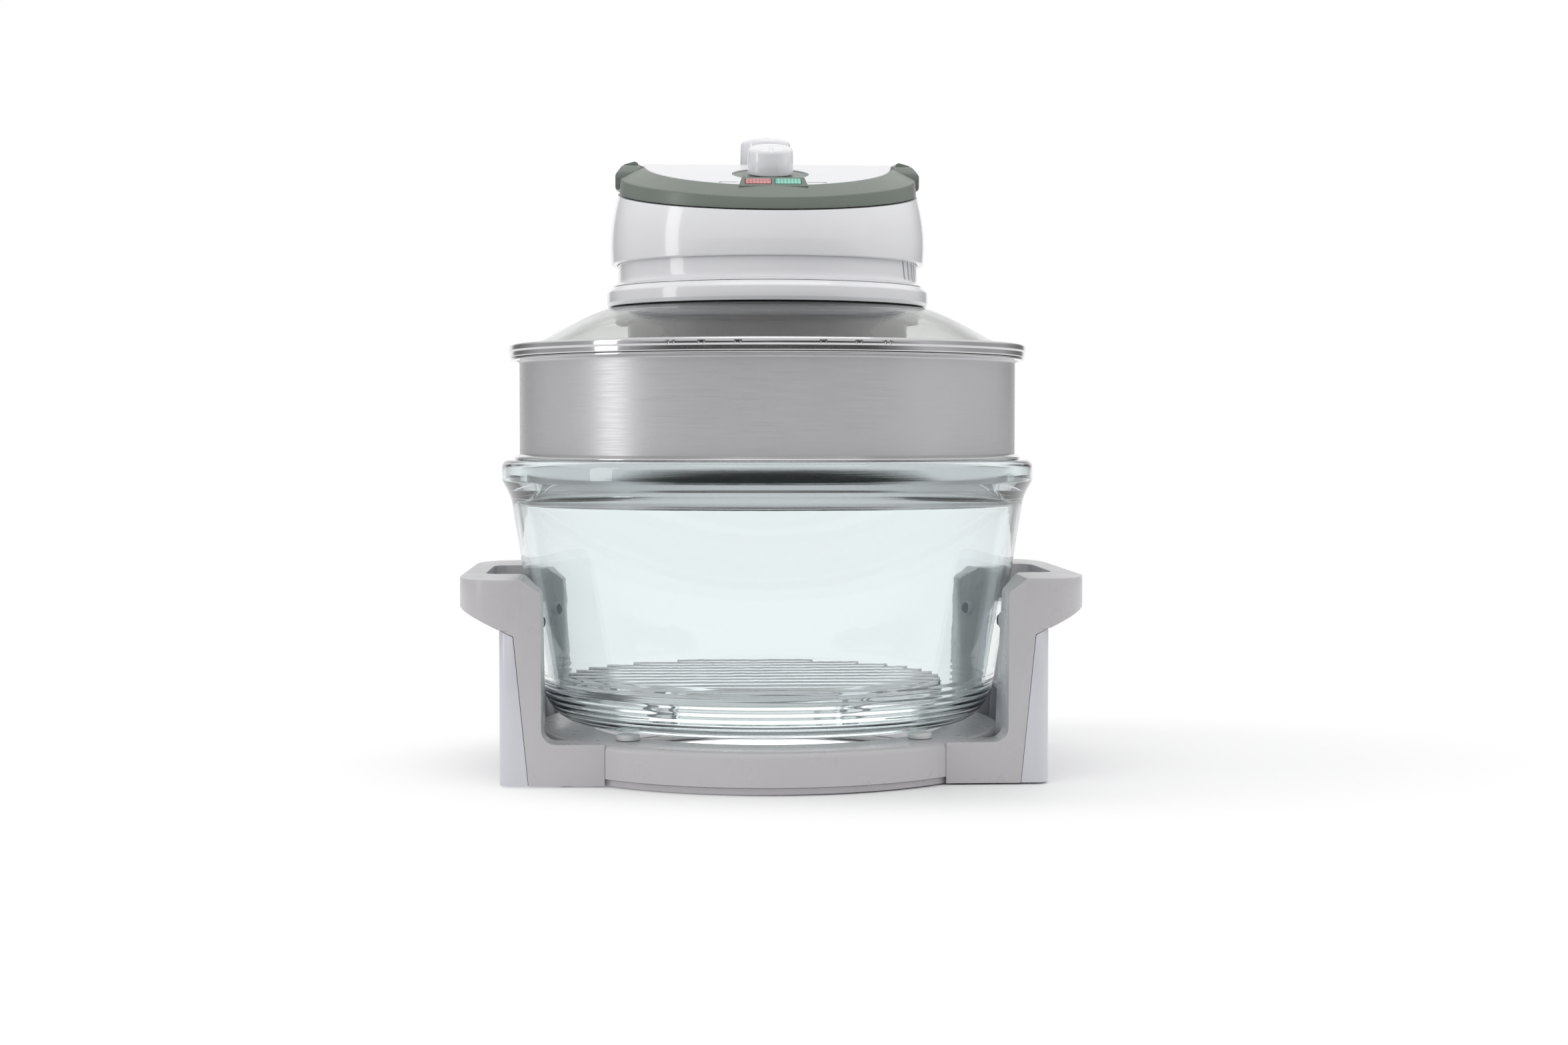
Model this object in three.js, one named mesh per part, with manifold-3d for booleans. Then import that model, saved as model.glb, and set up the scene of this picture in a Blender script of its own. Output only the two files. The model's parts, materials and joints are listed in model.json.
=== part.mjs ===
// Countertop convection oven: a glass bowl in a plastic stand, a steel extension ring on the bowl,
// and a glass lid that carries the control head with its fan, lamp, timer and thermostat.
// Millimetres, +Z up, the front faces -Y, and the origin is on the floor under the bowl's axis.
import * as THREE from 'three';
import { mergeVertices } from 'three/addons/utils/BufferGeometryUtils.js';
import Module from 'manifold-3d';

const wasm = await Module();
wasm.setup();

// ---------------------------------------------------------------- driving dimensions

const GAP = 0.3; // between pieces that touch
const ROUND = 32; // facets of a large turned piece
const MIDDLE_ROUND = 24; // facets of the heater's sheet-metal pieces
const SMALL_ROUND = 16; // facets of a small turned piece

// Glass bowl
const bowlRimRadius = 165;
const bowlRimWidth = 11;
const bowlRimHeight = 12.5;
const bowlRimFlare = 5.5;
const bowlHeight = 160.5;
const bowlWall = 5;
const bowlTaper = 16.5; // how much narrower the wall is at the heel than at the top
const bowlHeelHeight = 33;
const bowlHeelWidth = 24;

// Stand
const baseHeight = 25;
const baseWall = 3;
const baseMargin = 3; // base ring outside the bowl's heel
const baseRingWidth = 36;
const footHeight = 1; // how far the rubber feet stand out under the frames
const sideGap = 6.5; // between the bowl and the posts
const postTopZ = 121;
const postThickness = 24.5;
const postDepth = 62;
const standDepth = 214;
const cornerRadius = 8;
const beamDepth = 22;
const beamFillet = 9;
const sillHeight = 45;
const coverTopZ = 90;
const coverWall = 2.8;
const loopReach = 25; // how far the carrying loop stands out from the post
const loopBand = 13;
const loopHeight = 17;
const loopCorner = 9; // rounding of the hand opening's corners
const padRadius = 7.25;
const padHeight = 4;
const bumperRadius = 4.8;
const bumperZ = 93;
const bumperAngle = 23.2; // from the X axis, degrees

// Wire rack
const rackRadius = 117;
const rackWire = 2.2;
const rackBarWire = 1.6;
const rackBars = 13;
const rackLegs = 6;
const rackLegHeight = 16;
const rackLegWidth = 17;
const rackLegInset = 14; // how far the feet stand inside the rack's ring
const rackShift = -10; // the loose rack stands a little left of the bowl's axis

// Extension ring and lid
const sheet = 1;
const ringHeight = 62.2;
const ringSkirt = 26;
const lidBandHeight = 7.7;
const lidBandWidth = 12.5;
const lidGlass = 4.4;
const lidRise = 23.4;
const lidHoleRadius = 60;
const gasketThickness = 1.5;

// Control head
const headRadius = 98;
const shellWall = 2.5;
const collarHeight = 10.1;
const neckHeight = 15.1;
const housingHeight = 45;
const trimHeight = 10.5;
const panelRise = 18;
const panelThickness = 3;
const panelLean = 0.26; // slope of the front half of the panel
const housingLean = 0.196; // slope of the front half of the housing's top edge
const ventSlots = 14;
const ventPitch = 4.4; // degrees
const ventWidth = 2.2;
const ventHeight = 11.4;
const ventTilt = 14; // degrees
const frontDial = { radius: 23, inset: 39, knobRadius: 14, knobHeight: 17.5 };
const rearDial = { radius: 26.5, inset: 52, knobRadius: 16.2, knobHeight: 18.7 };
const dialSink = 1.6;
const stemRadius = 3;
const lensWidth = 15.3;
const lensDepth = 5.5;
const bailBand = 14;
const bailHeight = 18;
const bailPivotY = 3;
const bailEar = 8.5;
const studRadius = 2.5; // pivot studs moulded on the handle's ears
const studDepth = 2;

// Heater and fan
const guardDepth = 35;
const fanRadius = 48;
const lampRadius = 64;
const lampTube = 4.5;
const coolingFanRadius = 42;
const shaftRadius = 2.5;
const motorRadius = 27;
const motorHeight = 30;

// ---------------------------------------------------------------- finishes

const finish = (color, roughness, metalness = 0, extra = {}) =>
  new THREE.MeshStandardMaterial({ color, roughness, metalness, ...extra });
const whitePlastic = finish(0xf2f2f4, 0.18);
const standPlastic = finish(0xb9b8ba, 0.3);
const coverPlastic = finish(0xcfcfd4, 0.28);
const greyPlastic = finish(0x6e756f, 0.35);
const blackPlastic = finish(0x1c1c1e, 0.5);
const glass = finish(0xcfdcd8, 0.04, 0, { transparent: true, opacity: 0.35 });
const steel = finish(0xc4c4c6, 0.25, 1);
const chrome = finish(0xd8d8da, 0.08, 1);
const darkEnamel = finish(0x2a2b2c, 0.4, 0.4);
const rubber = finish(0x5c5c60, 0.8);
const silicone = finish(0xe6e6e6, 0.6);
const ceramic = finish(0xe9e4d8, 0.7);
const redLens = finish(0xc25f5f, 0.15);
const greenLens = finish(0x4fb89a, 0.15);

// ---------------------------------------------------------------- solids from geometry

const signedVolume = (positions, index) => {
  let sum = 0;
  const corner = [new THREE.Vector3(), new THREE.Vector3(), new THREE.Vector3()];
  for (let i = 0; i < index.length; i += 3) {
    corner.forEach((point, k) => point.fromArray(positions, index[i + k] * 3));
    sum += corner[0].dot(corner[1].clone().cross(corner[2])) / 6;
  }
  return sum;
};

// A closed geometry as a manifold solid, with its faces turned outwards.
const toSolid = (geometry) => {
  const bare = geometry.clone();
  bare.deleteAttribute('normal');
  bare.deleteAttribute('uv');
  const merged = mergeVertices(bare, 1e-3);
  const positions = merged.attributes.position.array;
  const corners = merged.index.array;
  const triangles = [];
  for (let i = 0; i < corners.length; i += 3) {
    const [a, b, c] = corners.slice(i, i + 3);
    if (a !== b && b !== c && c !== a) triangles.push(a, b, c);
  }
  if (signedVolume(positions, triangles) < 0) triangles.reverse();
  return new wasm.Manifold(new wasm.Mesh({
    numProp: 3,
    vertProperties: new Float32Array(positions),
    triVerts: new Uint32Array(triangles),
  }));
};

const toGeometry = (solid) => {
  const { vertProperties, triVerts } = solid.getMesh();
  const geometry = new THREE.BufferGeometry();
  geometry.setAttribute('position', new THREE.Float32BufferAttribute(vertProperties, 3));
  geometry.setIndex([...triVerts]);
  return geometry;
};

const join = (...solids) => solids.reduce((whole, next) => whole.add(next));
const cut = (solid, ...cutters) => cutters.reduce((rest, cutter) => rest.subtract(cutter), solid);

// The geometry turned about Z from a profile of [radius, height] points.
const turnedGeometry = (profile, segments = ROUND) => {
  const outline = profile.map(([radius, z]) => new THREE.Vector2(radius, z));
  if (profile[0][0] > 0) outline.push(outline[0].clone());
  return new THREE.LatheGeometry(outline, segments).rotateX(Math.PI / 2);
};
const turned = (profile, segments) => toSolid(turnedGeometry(profile, segments));
const disc = (radius, z0, z1, segments = SMALL_ROUND) =>
  turned([[0, z0], [radius, z0], [radius, z1], [0, z1]], segments);
const tube = (inner, outer, z0, z1, segments = SMALL_ROUND) =>
  turned([[inner, z0], [outer, z0], [outer, z1], [inner, z1]], segments);

const asShape = (outline) =>
  outline instanceof THREE.Shape
    ? outline : new THREE.Shape(outline.map(([a, b]) => new THREE.Vector2(a, b)));
const extruded = (outline, depth, curveSegments = 4) =>
  new THREE.ExtrudeGeometry(asShape(outline), { depth, bevelEnabled: false, curveSegments });
const basis = (x, y, z) =>
  new THREE.Matrix4().makeBasis(new THREE.Vector3(...x), new THREE.Vector3(...y), new THREE.Vector3(...z));
const alongZ = (outline, z0, z1) => toSolid(extruded(outline, z1 - z0).translate(0, 0, z0));
const alongY = (outline, y0, y1) => toSolid(extruded(outline, y1 - y0)
  .applyMatrix4(basis([1, 0, 0], [0, 0, 1], [0, -1, 0])).translate(0, y1, 0));
const alongX = (outline, x0, x1) => toSolid(extruded(outline, x1 - x0)
  .applyMatrix4(basis([0, 1, 0], [0, 0, 1], [1, 0, 0])).translate(x0, 0, 0));
const block = (x0, x1, y0, y1, z0, z1) => toSolid(new THREE.BoxGeometry(x1 - x0, y1 - y0, z1 - z0)
  .translate((x0 + x1) / 2, (y0 + y1) / 2, (z0 + z1) / 2));

const rod = (from, to, radius, sides = 10) => {
  const [start, end] = [new THREE.Vector3(...from), new THREE.Vector3(...to)];
  const axis = end.clone().sub(start);
  const turn = new THREE.Quaternion()
    .setFromUnitVectors(new THREE.Vector3(0, 1, 0), axis.clone().normalize());
  const middle = start.add(end).multiplyScalar(0.5);
  return toSolid(new THREE.CylinderGeometry(radius, radius, axis.length(), sides)
    .applyQuaternion(turn).translate(...middle));
};

// A wire along a curve, with a round section of the given number of sides.
const wire = (curve, radius, steps, sides = 6) => {
  const section = new THREE.Shape(Array.from({ length: sides }, (_, i) => {
    const angle = (2 * Math.PI * i) / sides;
    return new THREE.Vector2(radius * Math.cos(angle), radius * Math.sin(angle));
  }));
  return toSolid(new THREE.ExtrudeGeometry(section, { steps, extrudePath: curve, bevelEnabled: false }));
};

const polar = (radius, degrees, z = 0) => {
  const angle = THREE.MathUtils.degToRad(degrees);
  return [radius * Math.cos(angle), radius * Math.sin(angle), z];
};
const between = (value, [a, b], [c, d]) => c + ((value - a) / (b - a)) * (d - c);
const moved = (solid, matrix) => toSolid(toGeometry(solid).applyMatrix4(matrix));
const mirrored = (solid) => moved(solid, new THREE.Matrix4().makeScale(-1, 1, 1));

const oven = new THREE.Group();
const assembly = (parent = oven) => {
  const group = new THREE.Group();
  parent.add(group);
  return group;
};
const addPiece = (group, name, solid, material) => {
  const mesh = new THREE.Mesh(toGeometry(solid), material);
  mesh.name = name;
  group.add(mesh);
};

// ---------------------------------------------------------------- levels and radii that follow

const bowlFloorZ = baseHeight + padHeight;
const bowlTopZ = bowlFloorZ + bowlHeight;
const bowlWallRadius = bowlRimRadius - bowlRimFlare;
const bowlHeelRadius = bowlWallRadius - bowlTaper;
const bowlFloorRadius = bowlHeelRadius - bowlHeelWidth;
const bowlHeelZ = bowlFloorZ + bowlHeelHeight;
const bowlWallTopZ = bowlTopZ - bowlRimHeight - 2 * bowlWall;
const bowlRadiusAt = (z) => between(z, [bowlHeelZ, bowlWallTopZ], [bowlHeelRadius, bowlWallRadius]);

const ringRadius = bowlRimRadius - bowlRimWidth;
const ringBottomZ = bowlTopZ + GAP;
const ringTopZ = ringBottomZ + ringHeight;
const lidBandRadius = ringRadius + 6.6;
const lidBandZ = ringTopZ + GAP;
const lidTopZ = lidBandZ + lidBandHeight;
const glassTopZ = lidTopZ + lidRise;
const collarZ = glassTopZ + gasketThickness + 2 * GAP;
const neckZ = collarZ + collarHeight + GAP;
const neckTopZ = neckZ + neckHeight;
const housingTopZ = neckTopZ + housingHeight - 1;
const neckRadius = headRadius - 5;
const panelRadius = headRadius - 21;
const panelZ = housingTopZ + panelRise;

// ---------------------------------------------------------------- stand

const stand = assembly();
const baseRadius = bowlHeelRadius + baseMargin;
const baseInnerRadius = baseRadius - baseRingWidth;
const baseStripTop = 4.7;
const baseBottomZ = baseStripTop + GAP;
const sideOuterX = baseRadius + 15;
const sideInnerX = sideOuterX - postThickness;
const halfDepth = standDepth / 2;
const screwAngles = [37.5, 142.5, 217.5, 322.5];
const screwZ = 13;
const screwReach = 14;
const screwRadius = 2;
const screwHeadRadius = 3.8;
const screwHeadDepth = 2.6;

// The middle of a turned facet lies this far inside its radius.
const facetSag = bowlRimRadius * (1 - Math.cos(Math.PI / ROUND));

const screwHoles = (radius) => screwAngles.map((angle) =>
  rod(polar(baseRadius - 2 * baseWall, angle, screwZ), polar(baseRadius + screwReach, angle, screwZ),
    radius));

addPiece(stand, 'stand_base', cut(turned([
  [baseInnerRadius, baseBottomZ],
  [baseInnerRadius + baseWall, baseBottomZ],
  [baseInnerRadius + baseWall, baseHeight - baseWall],
  [baseRadius - baseWall, baseHeight - baseWall],
  [baseRadius - baseWall, baseBottomZ],
  [baseRadius, baseBottomZ],
  [baseRadius, baseHeight - 2],
  [baseRadius - 2, baseHeight],
  [baseInnerRadius, baseHeight],
]), ...screwHoles(screwRadius + GAP)), standPlastic);
addPiece(stand, 'base_bottom_ring',
  tube(baseInnerRadius + 1, baseRadius - 2.5, footHeight / 2, baseStripTop, ROUND), standPlastic);

screwAngles.forEach((angle, i) => {
  const headStart = baseRadius - baseWall - GAP - facetSag;
  addPiece(stand, `stand_screw_${i + 1}`, join(
    rod(polar(headStart - screwHeadDepth, angle, screwZ), polar(headStart, angle, screwZ),
      screwHeadRadius),
    rod(polar(headStart - 1, angle, screwZ), polar(baseRadius + screwReach - GAP, angle, screwZ),
      screwRadius),
  ), steel);
});

// The space that the bowl and the base ring take out of the side frames.
const bowlSpace = turned([
  [0, -1],
  [baseRadius + GAP, -1],
  [baseRadius + GAP, baseHeight + GAP],
  [bowlHeelRadius + sideGap, bowlHeelZ],
  [bowlWallRadius + sideGap, bowlWallTopZ],
  [0, bowlWallTopZ],
]);
const standFootprint = new THREE.Shape();
standFootprint.moveTo(0, -halfDepth);
standFootprint.lineTo(sideOuterX - cornerRadius, -halfDepth);
standFootprint.absarc(sideOuterX - cornerRadius, -halfDepth + cornerRadius, cornerRadius, -Math.PI / 2, 0);
standFootprint.absarc(sideOuterX - cornerRadius, halfDepth - cornerRadius, cornerRadius, 0, Math.PI / 2);
standFootprint.lineTo(0, halfDepth);
const footprint = alongZ(standFootprint, footHeight, postTopZ);
const postEnd = halfDepth - postDepth;
const sideOpening = block(sideInnerX, sideOuterX + 1, -postEnd, postEnd, sillHeight, postTopZ + 1);

// The parting line between the frame and its outer cover leans inwards to the floor.
const seamTopX = sideOuterX - 8.4;
const seamFootX = sideOuterX - 17;
const innerX = sideInnerX - 30; // well inside the posts, for cutters
const postBevel = 11;
const loopSweep = 39; // how far from the end the loop's outer edge starts to curve in
const coverOutline = (grow) => [
  [seamFootX - grow, footHeight - 2 * grow],
  [sideOuterX + grow, footHeight - 2 * grow],
  [sideOuterX + grow, coverTopZ + 2 + grow],
  [seamTopX - grow, coverTopZ - 2 + grow],
];

const footPlaces = [[1, -1], [1, 1], [-1, 1], [-1, -1]];
const footRadius = 7;
const footClearance = 2.24; // between a foot and the base ring
const footY = halfDepth - beamDepth / 2;
const footX = Math.sqrt((baseRadius + footClearance + footRadius) ** 2 - footY ** 2);

const sideFrame = () => {
  const post = [
    [sideInnerX, footHeight],
    [sideOuterX, footHeight],
    [sideOuterX, postTopZ],
    [sideInnerX + postBevel, postTopZ],
    [sideInnerX, postTopZ - 8],
  ];
  const beam = new THREE.Shape();
  beam.moveTo(baseRadius / 2, footHeight);
  beam.lineTo(sideInnerX + 1, footHeight);
  beam.lineTo(sideInnerX + 1, baseHeight + beamFillet);
  beam.lineTo(sideInnerX, baseHeight + beamFillet);
  beam.absarc(sideInnerX - beamFillet, baseHeight + beamFillet, beamFillet, 0, -Math.PI / 2, true);
  beam.lineTo(baseRadius / 2, baseHeight);

  const loopX = sideOuterX + loopReach;
  const loopOuter = new THREE.Shape();
  loopOuter.moveTo(sideInnerX + postBevel, -halfDepth);
  loopOuter.lineTo(sideOuterX - 2, -halfDepth);
  loopOuter.quadraticCurveTo(loopX - 6, -halfDepth + 3, loopX, -halfDepth + loopSweep);
  loopOuter.lineTo(loopX, halfDepth - loopSweep);
  loopOuter.quadraticCurveTo(loopX - 6, halfDepth - 3, sideOuterX - 2, halfDepth);
  loopOuter.lineTo(sideInnerX + postBevel, halfDepth);
  const loopInner = new THREE.Shape();
  const gapX = loopX - loopBand;
  loopInner.moveTo(sideInnerX + postBevel - 1, -postEnd);
  loopInner.lineTo(gapX - loopCorner, -postEnd);
  loopInner.absarc(gapX - loopCorner, -postEnd + loopCorner, loopCorner, -Math.PI / 2, 0);
  loopInner.absarc(gapX - loopCorner, postEnd - loopCorner, loopCorner, 0, Math.PI / 2);
  loopInner.lineTo(sideInnerX + postBevel - 1, postEnd);
  const loopBottom = coverTopZ + 2;
  const underside = alongY([
    [sideOuterX, loopBottom - 1],
    [loopX + 1, loopBottom - 1],
    [loopX + 1, postTopZ - loopHeight],
    [loopX, postTopZ - loopHeight],
    [sideOuterX, loopBottom],
  ], -halfDepth - 1, halfDepth + 1);
  const loop = cut(alongZ(loopOuter, loopBottom, postTopZ),
    alongZ(loopInner, 0, postTopZ + 1), underside);

  const posts = join(alongY(post, -halfDepth, -postEnd), alongY(post, postEnd, halfDepth))
    .intersect(footprint);
  const beams = join(
    alongY(beam, -halfDepth, -halfDepth + beamDepth),
    alongY(beam, halfDepth - beamDepth, halfDepth),
  );
  const pocketTop = coverTopZ - 6;
  const pockets = [-1, 1].map((side) => {
    const [near, far] = [halfDepth - 31, halfDepth - baseWall].map((y) => side * y).sort((a, b) => a - b);
    return block(sideInnerX + baseWall, sideOuterX, near, far, footHeight + 4, pocketTop);
  });
  const footHoles = [-1, 1].map((side) =>
    moved(disc(footRadius + GAP, 0, 3.5), new THREE.Matrix4().makeTranslation(footX, side * footY, 0)));
  return cut(join(posts, beams, loop), bowlSpace, alongY(coverOutline(GAP), -halfDepth - 1, halfDepth + 1),
    ...pockets, ...footHoles, ...screwHoles(screwRadius + GAP));
};

const sideCover = () => {
  const inside = sideOuterX - coverWall;
  const hollow = [
    block(innerX, inside, -postEnd, postEnd, footHeight + coverWall, sillHeight - coverWall),
    block(innerX, inside, -halfDepth + coverWall, -postEnd - coverWall,
      footHeight + coverWall, coverTopZ - 2 - coverWall),
    block(innerX, inside, postEnd + coverWall, halfDepth - coverWall,
      footHeight + coverWall, coverTopZ - 2 - coverWall),
  ];
  const whole = alongY(coverOutline(0), -halfDepth, halfDepth).intersect(footprint);
  return cut(whole, bowlSpace, sideOpening, ...hollow);
};

const [rightFrame, rightCover] = [sideFrame(), sideCover()];
addPiece(stand, 'right_side_frame', rightFrame, standPlastic);
addPiece(stand, 'left_side_frame', mirrored(rightFrame), standPlastic);
addPiece(stand, 'right_side_cover', rightCover, coverPlastic);
addPiece(stand, 'left_side_cover', mirrored(rightCover), coverPlastic);

footPlaces.forEach(([sideX, sideY], i) => {
  const foot = assembly(stand);
  foot.position.set(sideX * footX, sideY * footY, 0);
  addPiece(foot, `rubber_foot_${i + 1}`, disc(footRadius, 0, 3.2), rubber);

  const pad = assembly(stand);
  const padReach = (bowlFloorRadius + 3.3) * Math.SQRT1_2;
  pad.position.set(sideX * padReach, sideY * padReach, baseHeight + GAP);
  const padTop = padHeight - 2 * GAP;
  addPiece(pad, `bowl_pad_${i + 1}`,
    turned([[0, 0], [padRadius, 0], [padRadius, padTop - 1], [padRadius - 1, padTop], [0, padTop]],
      SMALL_ROUND), silicone);

  const angle = THREE.MathUtils.radToDeg(Math.atan2(sideY * Math.sin(THREE.MathUtils.degToRad(bumperAngle)),
    sideX * Math.cos(THREE.MathUtils.degToRad(bumperAngle))));
  const tip = bowlRadiusAt(bumperZ + bumperRadius) + GAP;
  const seat = bowlRadiusAt(bumperZ - bumperRadius) + sideGap - GAP - facetSag;
  addPiece(stand, `bowl_bumper_${i + 1}`,
    rod(polar(tip, angle, bumperZ), polar(seat, angle, bumperZ), bumperRadius, SMALL_ROUND), rubber);
});

// ---------------------------------------------------------------- bowl and rack

const bowlGroup = assembly();
addPiece(bowlGroup, 'glass_bowl', turned([
  [0, bowlFloorZ],
  [bowlFloorRadius, bowlFloorZ],
  [bowlHeelRadius - 14, bowlFloorZ + 7.5],
  [bowlHeelRadius - 6, bowlFloorZ + 16],
  [bowlHeelRadius, bowlHeelZ],
  [bowlWallRadius, bowlWallTopZ],
  [bowlRimRadius, bowlTopZ - bowlRimHeight],
  [bowlRimRadius, bowlTopZ - 3],
  [bowlRimRadius - 3, bowlTopZ],
  [ringRadius + 2, bowlTopZ],
  [ringRadius, bowlTopZ - 2],
  [bowlWallRadius - bowlWall, bowlWallTopZ],
  [bowlHeelRadius - bowlWall, bowlHeelZ + 1],
  [bowlHeelRadius - bowlWall - 5.5, bowlFloorZ + 18],
  [bowlFloorRadius - 1, bowlFloorZ + bowlWall],
  [0, bowlFloorZ + bowlWall],
]), glass);

const rackGroup = assembly();
rackGroup.position.set(rackShift, 0, bowlFloorZ + bowlWall + GAP);
const rackRing = toSolid(new THREE.TorusGeometry(rackRadius, rackWire, 6, ROUND)
  .translate(0, 0, rackLegHeight));
const barZ = rackLegHeight + rackWire + 0.5 * rackBarWire;
const barPitch = (2 * (rackRadius - 9)) / (rackBars - 1);
const bars = Array.from({ length: rackBars }, (_, i) => {
  const y = (i - (rackBars - 1) / 2) * barPitch;
  const half = Math.sqrt(rackRadius ** 2 - y ** 2) + 1;
  return rod([-half, y, barZ], [half, y, barZ], rackBarWire, 5);
});
const legs = Array.from({ length: rackLegs }, (_, i) => {
  const top = rackLegHeight - 1;
  const half = rackLegWidth / 2;
  const footRadiusAt = (z) => between(z, [rackWire, top], [rackRadius - rackLegInset, rackRadius - 1]);
  const path = new THREE.CatmullRomCurve3([
    [-half, top], [-half + 1, top * 0.5], [-half + 4, rackWire], [0, rackWire],
    [half - 4, rackWire], [half - 1, top * 0.5], [half, top],
  ].map(([along, z]) => new THREE.Vector3(footRadiusAt(z), along, z)));
  return moved(wire(path, rackWire, 7, 5), new THREE.Matrix4().makeRotationZ((2 * Math.PI * i) / rackLegs));
});
addPiece(rackGroup, 'wire_rack', join(rackRing, ...bars, ...legs), chrome);

// ---------------------------------------------------------------- extension ring

const ringGroup = assembly();
const skirtRadius = ringRadius - 4;
addPiece(ringGroup, 'extension_ring', turned([
  [skirtRadius - sheet, ringBottomZ - ringSkirt],
  [skirtRadius, ringBottomZ - ringSkirt],
  [skirtRadius, ringBottomZ],
  [ringRadius + 3, ringBottomZ],
  [ringRadius + 3.6, ringBottomZ + 1.4],
  [ringRadius, ringBottomZ + 4],
  [ringRadius, ringTopZ - 1.5],
  [lidBandRadius - 1, ringTopZ - sheet],
  [lidBandRadius - 1, ringTopZ],
  [ringRadius - sheet, ringTopZ],
  [ringRadius - sheet, ringBottomZ + 3.4],
  [ringRadius + 2, ringBottomZ + 1.6],
  [skirtRadius - sheet, ringBottomZ + sheet],
]), steel);

// ---------------------------------------------------------------- lid

const lid = assembly();
const lidSkirtRadius = ringRadius - sheet - 2.5;
const bandLip = lidBandRadius - lidBandWidth;
addPiece(lid, 'lid_band', turned([
  [lidSkirtRadius - sheet, lidBandZ - 8],
  [lidSkirtRadius, lidBandZ - 8],
  [lidSkirtRadius, lidBandZ],
  [lidBandRadius - 0.6, lidBandZ],
  [lidBandRadius - 0.6, lidBandZ + 3.4],
  [lidBandRadius, lidBandZ + 4.2],
  [lidBandRadius, lidTopZ - 1],
  [lidBandRadius - 1, lidTopZ],
  [bandLip, lidTopZ],
  [bandLip, lidTopZ - sheet],
  [lidBandRadius - 1.6, lidTopZ - sheet],
  [lidBandRadius - 1.6, lidBandZ + sheet],
  [lidSkirtRadius - sheet, lidBandZ + sheet],
]), steel);

const glassEdge = lidBandRadius - 1.6 - 2 * GAP;
const glassEdgeTop = lidTopZ - sheet - GAP;
const flatRadius = headRadius - 0.3;
const domeMid = (bandLip + flatRadius) / 2;
addPiece(lid, 'glass_lid', turned([
  [lidHoleRadius, glassTopZ],
  [flatRadius, glassTopZ],
  [domeMid, lidTopZ + 0.55 * lidRise],
  [bandLip - 2, lidTopZ],
  [bandLip, glassEdgeTop],
  [glassEdge, glassEdgeTop],
  [glassEdge, lidBandZ + sheet + GAP],
  [bandLip - 1, lidBandZ + sheet + GAP],
  [bandLip - 3.5, lidTopZ - lidGlass - 0.3],
  [domeMid - 2, lidTopZ + 0.55 * lidRise - lidGlass],
  [flatRadius - 1.2, glassTopZ - lidGlass],
  [lidHoleRadius, glassTopZ - lidGlass],
]), glass);
addPiece(lid, 'lid_gasket',
  tube(lidHoleRadius + 4, headRadius + 0.6, glassTopZ + GAP, glassTopZ + GAP + gasketThickness, ROUND),
  blackPlastic);

// ---------------------------------------------------------------- heater under the lid

const shieldZ = glassTopZ - lidGlass - GAP;
const boreRadius = 6;
const clampRadius = 46;
const clampAngles = [30, 150, 270];
const clampHoles = (radius) => clampAngles.map((angle) =>
  rod(polar(clampRadius, angle, shieldZ - 3), polar(clampRadius, angle, collarZ + 6), radius));

const shieldRadius = headRadius - 3;
addPiece(lid, 'heat_shield', cut(turned([
  [boreRadius, shieldZ - sheet],
  [shieldRadius - 2, shieldZ - sheet],
  [shieldRadius - 1, shieldZ - 5],
  [shieldRadius, shieldZ - 5],
  [shieldRadius - 1, shieldZ],
  [boreRadius, shieldZ],
], MIDDLE_ROUND), ...clampHoles(screwRadius + GAP)), darkEnamel);

const guardRadius = headRadius - 11;
const guardTopZ = shieldZ - sheet - GAP;
const guardBottomZ = guardTopZ - guardDepth;
addPiece(lid, 'heater_guard', turned([
  [guardRadius - 3, guardTopZ],
  [guardRadius - 3, guardTopZ - sheet],
  [guardRadius - sheet, guardTopZ - sheet],
  [guardRadius - sheet, guardBottomZ],
  [guardRadius, guardBottomZ],
  [guardRadius, guardTopZ - sheet],
  [guardRadius + 3, guardTopZ - sheet],
  [guardRadius + 3, guardTopZ],
], MIDDLE_ROUND), steel);

const reflectorZ = guardTopZ - 5;
addPiece(lid, 'reflector', turned([
  [boreRadius, reflectorZ - sheet],
  [guardRadius - sheet - GAP, reflectorZ - sheet],
  [guardRadius - sheet - GAP, reflectorZ + 1.5],
  [guardRadius - 2 * sheet - GAP, reflectorZ + 1.5],
  [guardRadius - 2 * sheet - GAP, reflectorZ],
  [boreRadius, reflectorZ],
], MIDDLE_ROUND), chrome);

const lampZ = guardBottomZ + 10;
const lampEnd = 10; // degrees from the X axis to each lamp end
const lampArc = Array.from({ length: 25 }, (_, i) =>
  new THREE.Vector3(...polar(lampRadius, between(i, [0, 24], [lampEnd, 360 - lampEnd]), lampZ)));
addPiece(lid, 'halogen_lamp', wire(new THREE.CatmullRomCurve3(lampArc), lampTube, 28, 8), glass);
const lampEndSine = Math.sin(THREE.MathUtils.degToRad(lampEnd));
[['front', -1], ['rear', 1]].forEach(([place, side]) => {
  const y = side * (lampRadius * lampEndSine - lampTube * lampEndSine - 2 * GAP);
  const [y0, y1] = [y, y - side * 8].sort((a, b) => a - b);
  addPiece(lid, `lamp_holder_${place}`, block(lampRadius - 9, lampRadius + 7, y0, y1,
    lampZ - lampTube - 1, reflectorZ - sheet - GAP), ceramic);
});

const grilleRings = [28, 56, guardRadius - sheet - GAP - 2];
addPiece(lid, 'heater_grille', join(
  ...grilleRings.map((radius) => tube(radius, radius + 2, guardBottomZ + 0.5, guardBottomZ + 2.5,
    MIDDLE_ROUND)),
  ...[0, 60, 120].map((angle) => {
    const reach = grilleRings[2] + 1;
    return rod(polar(-reach, angle, guardBottomZ + 1.5), polar(reach, angle, guardBottomZ + 1.5), 0.9, 6);
  }),
), chrome);

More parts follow.
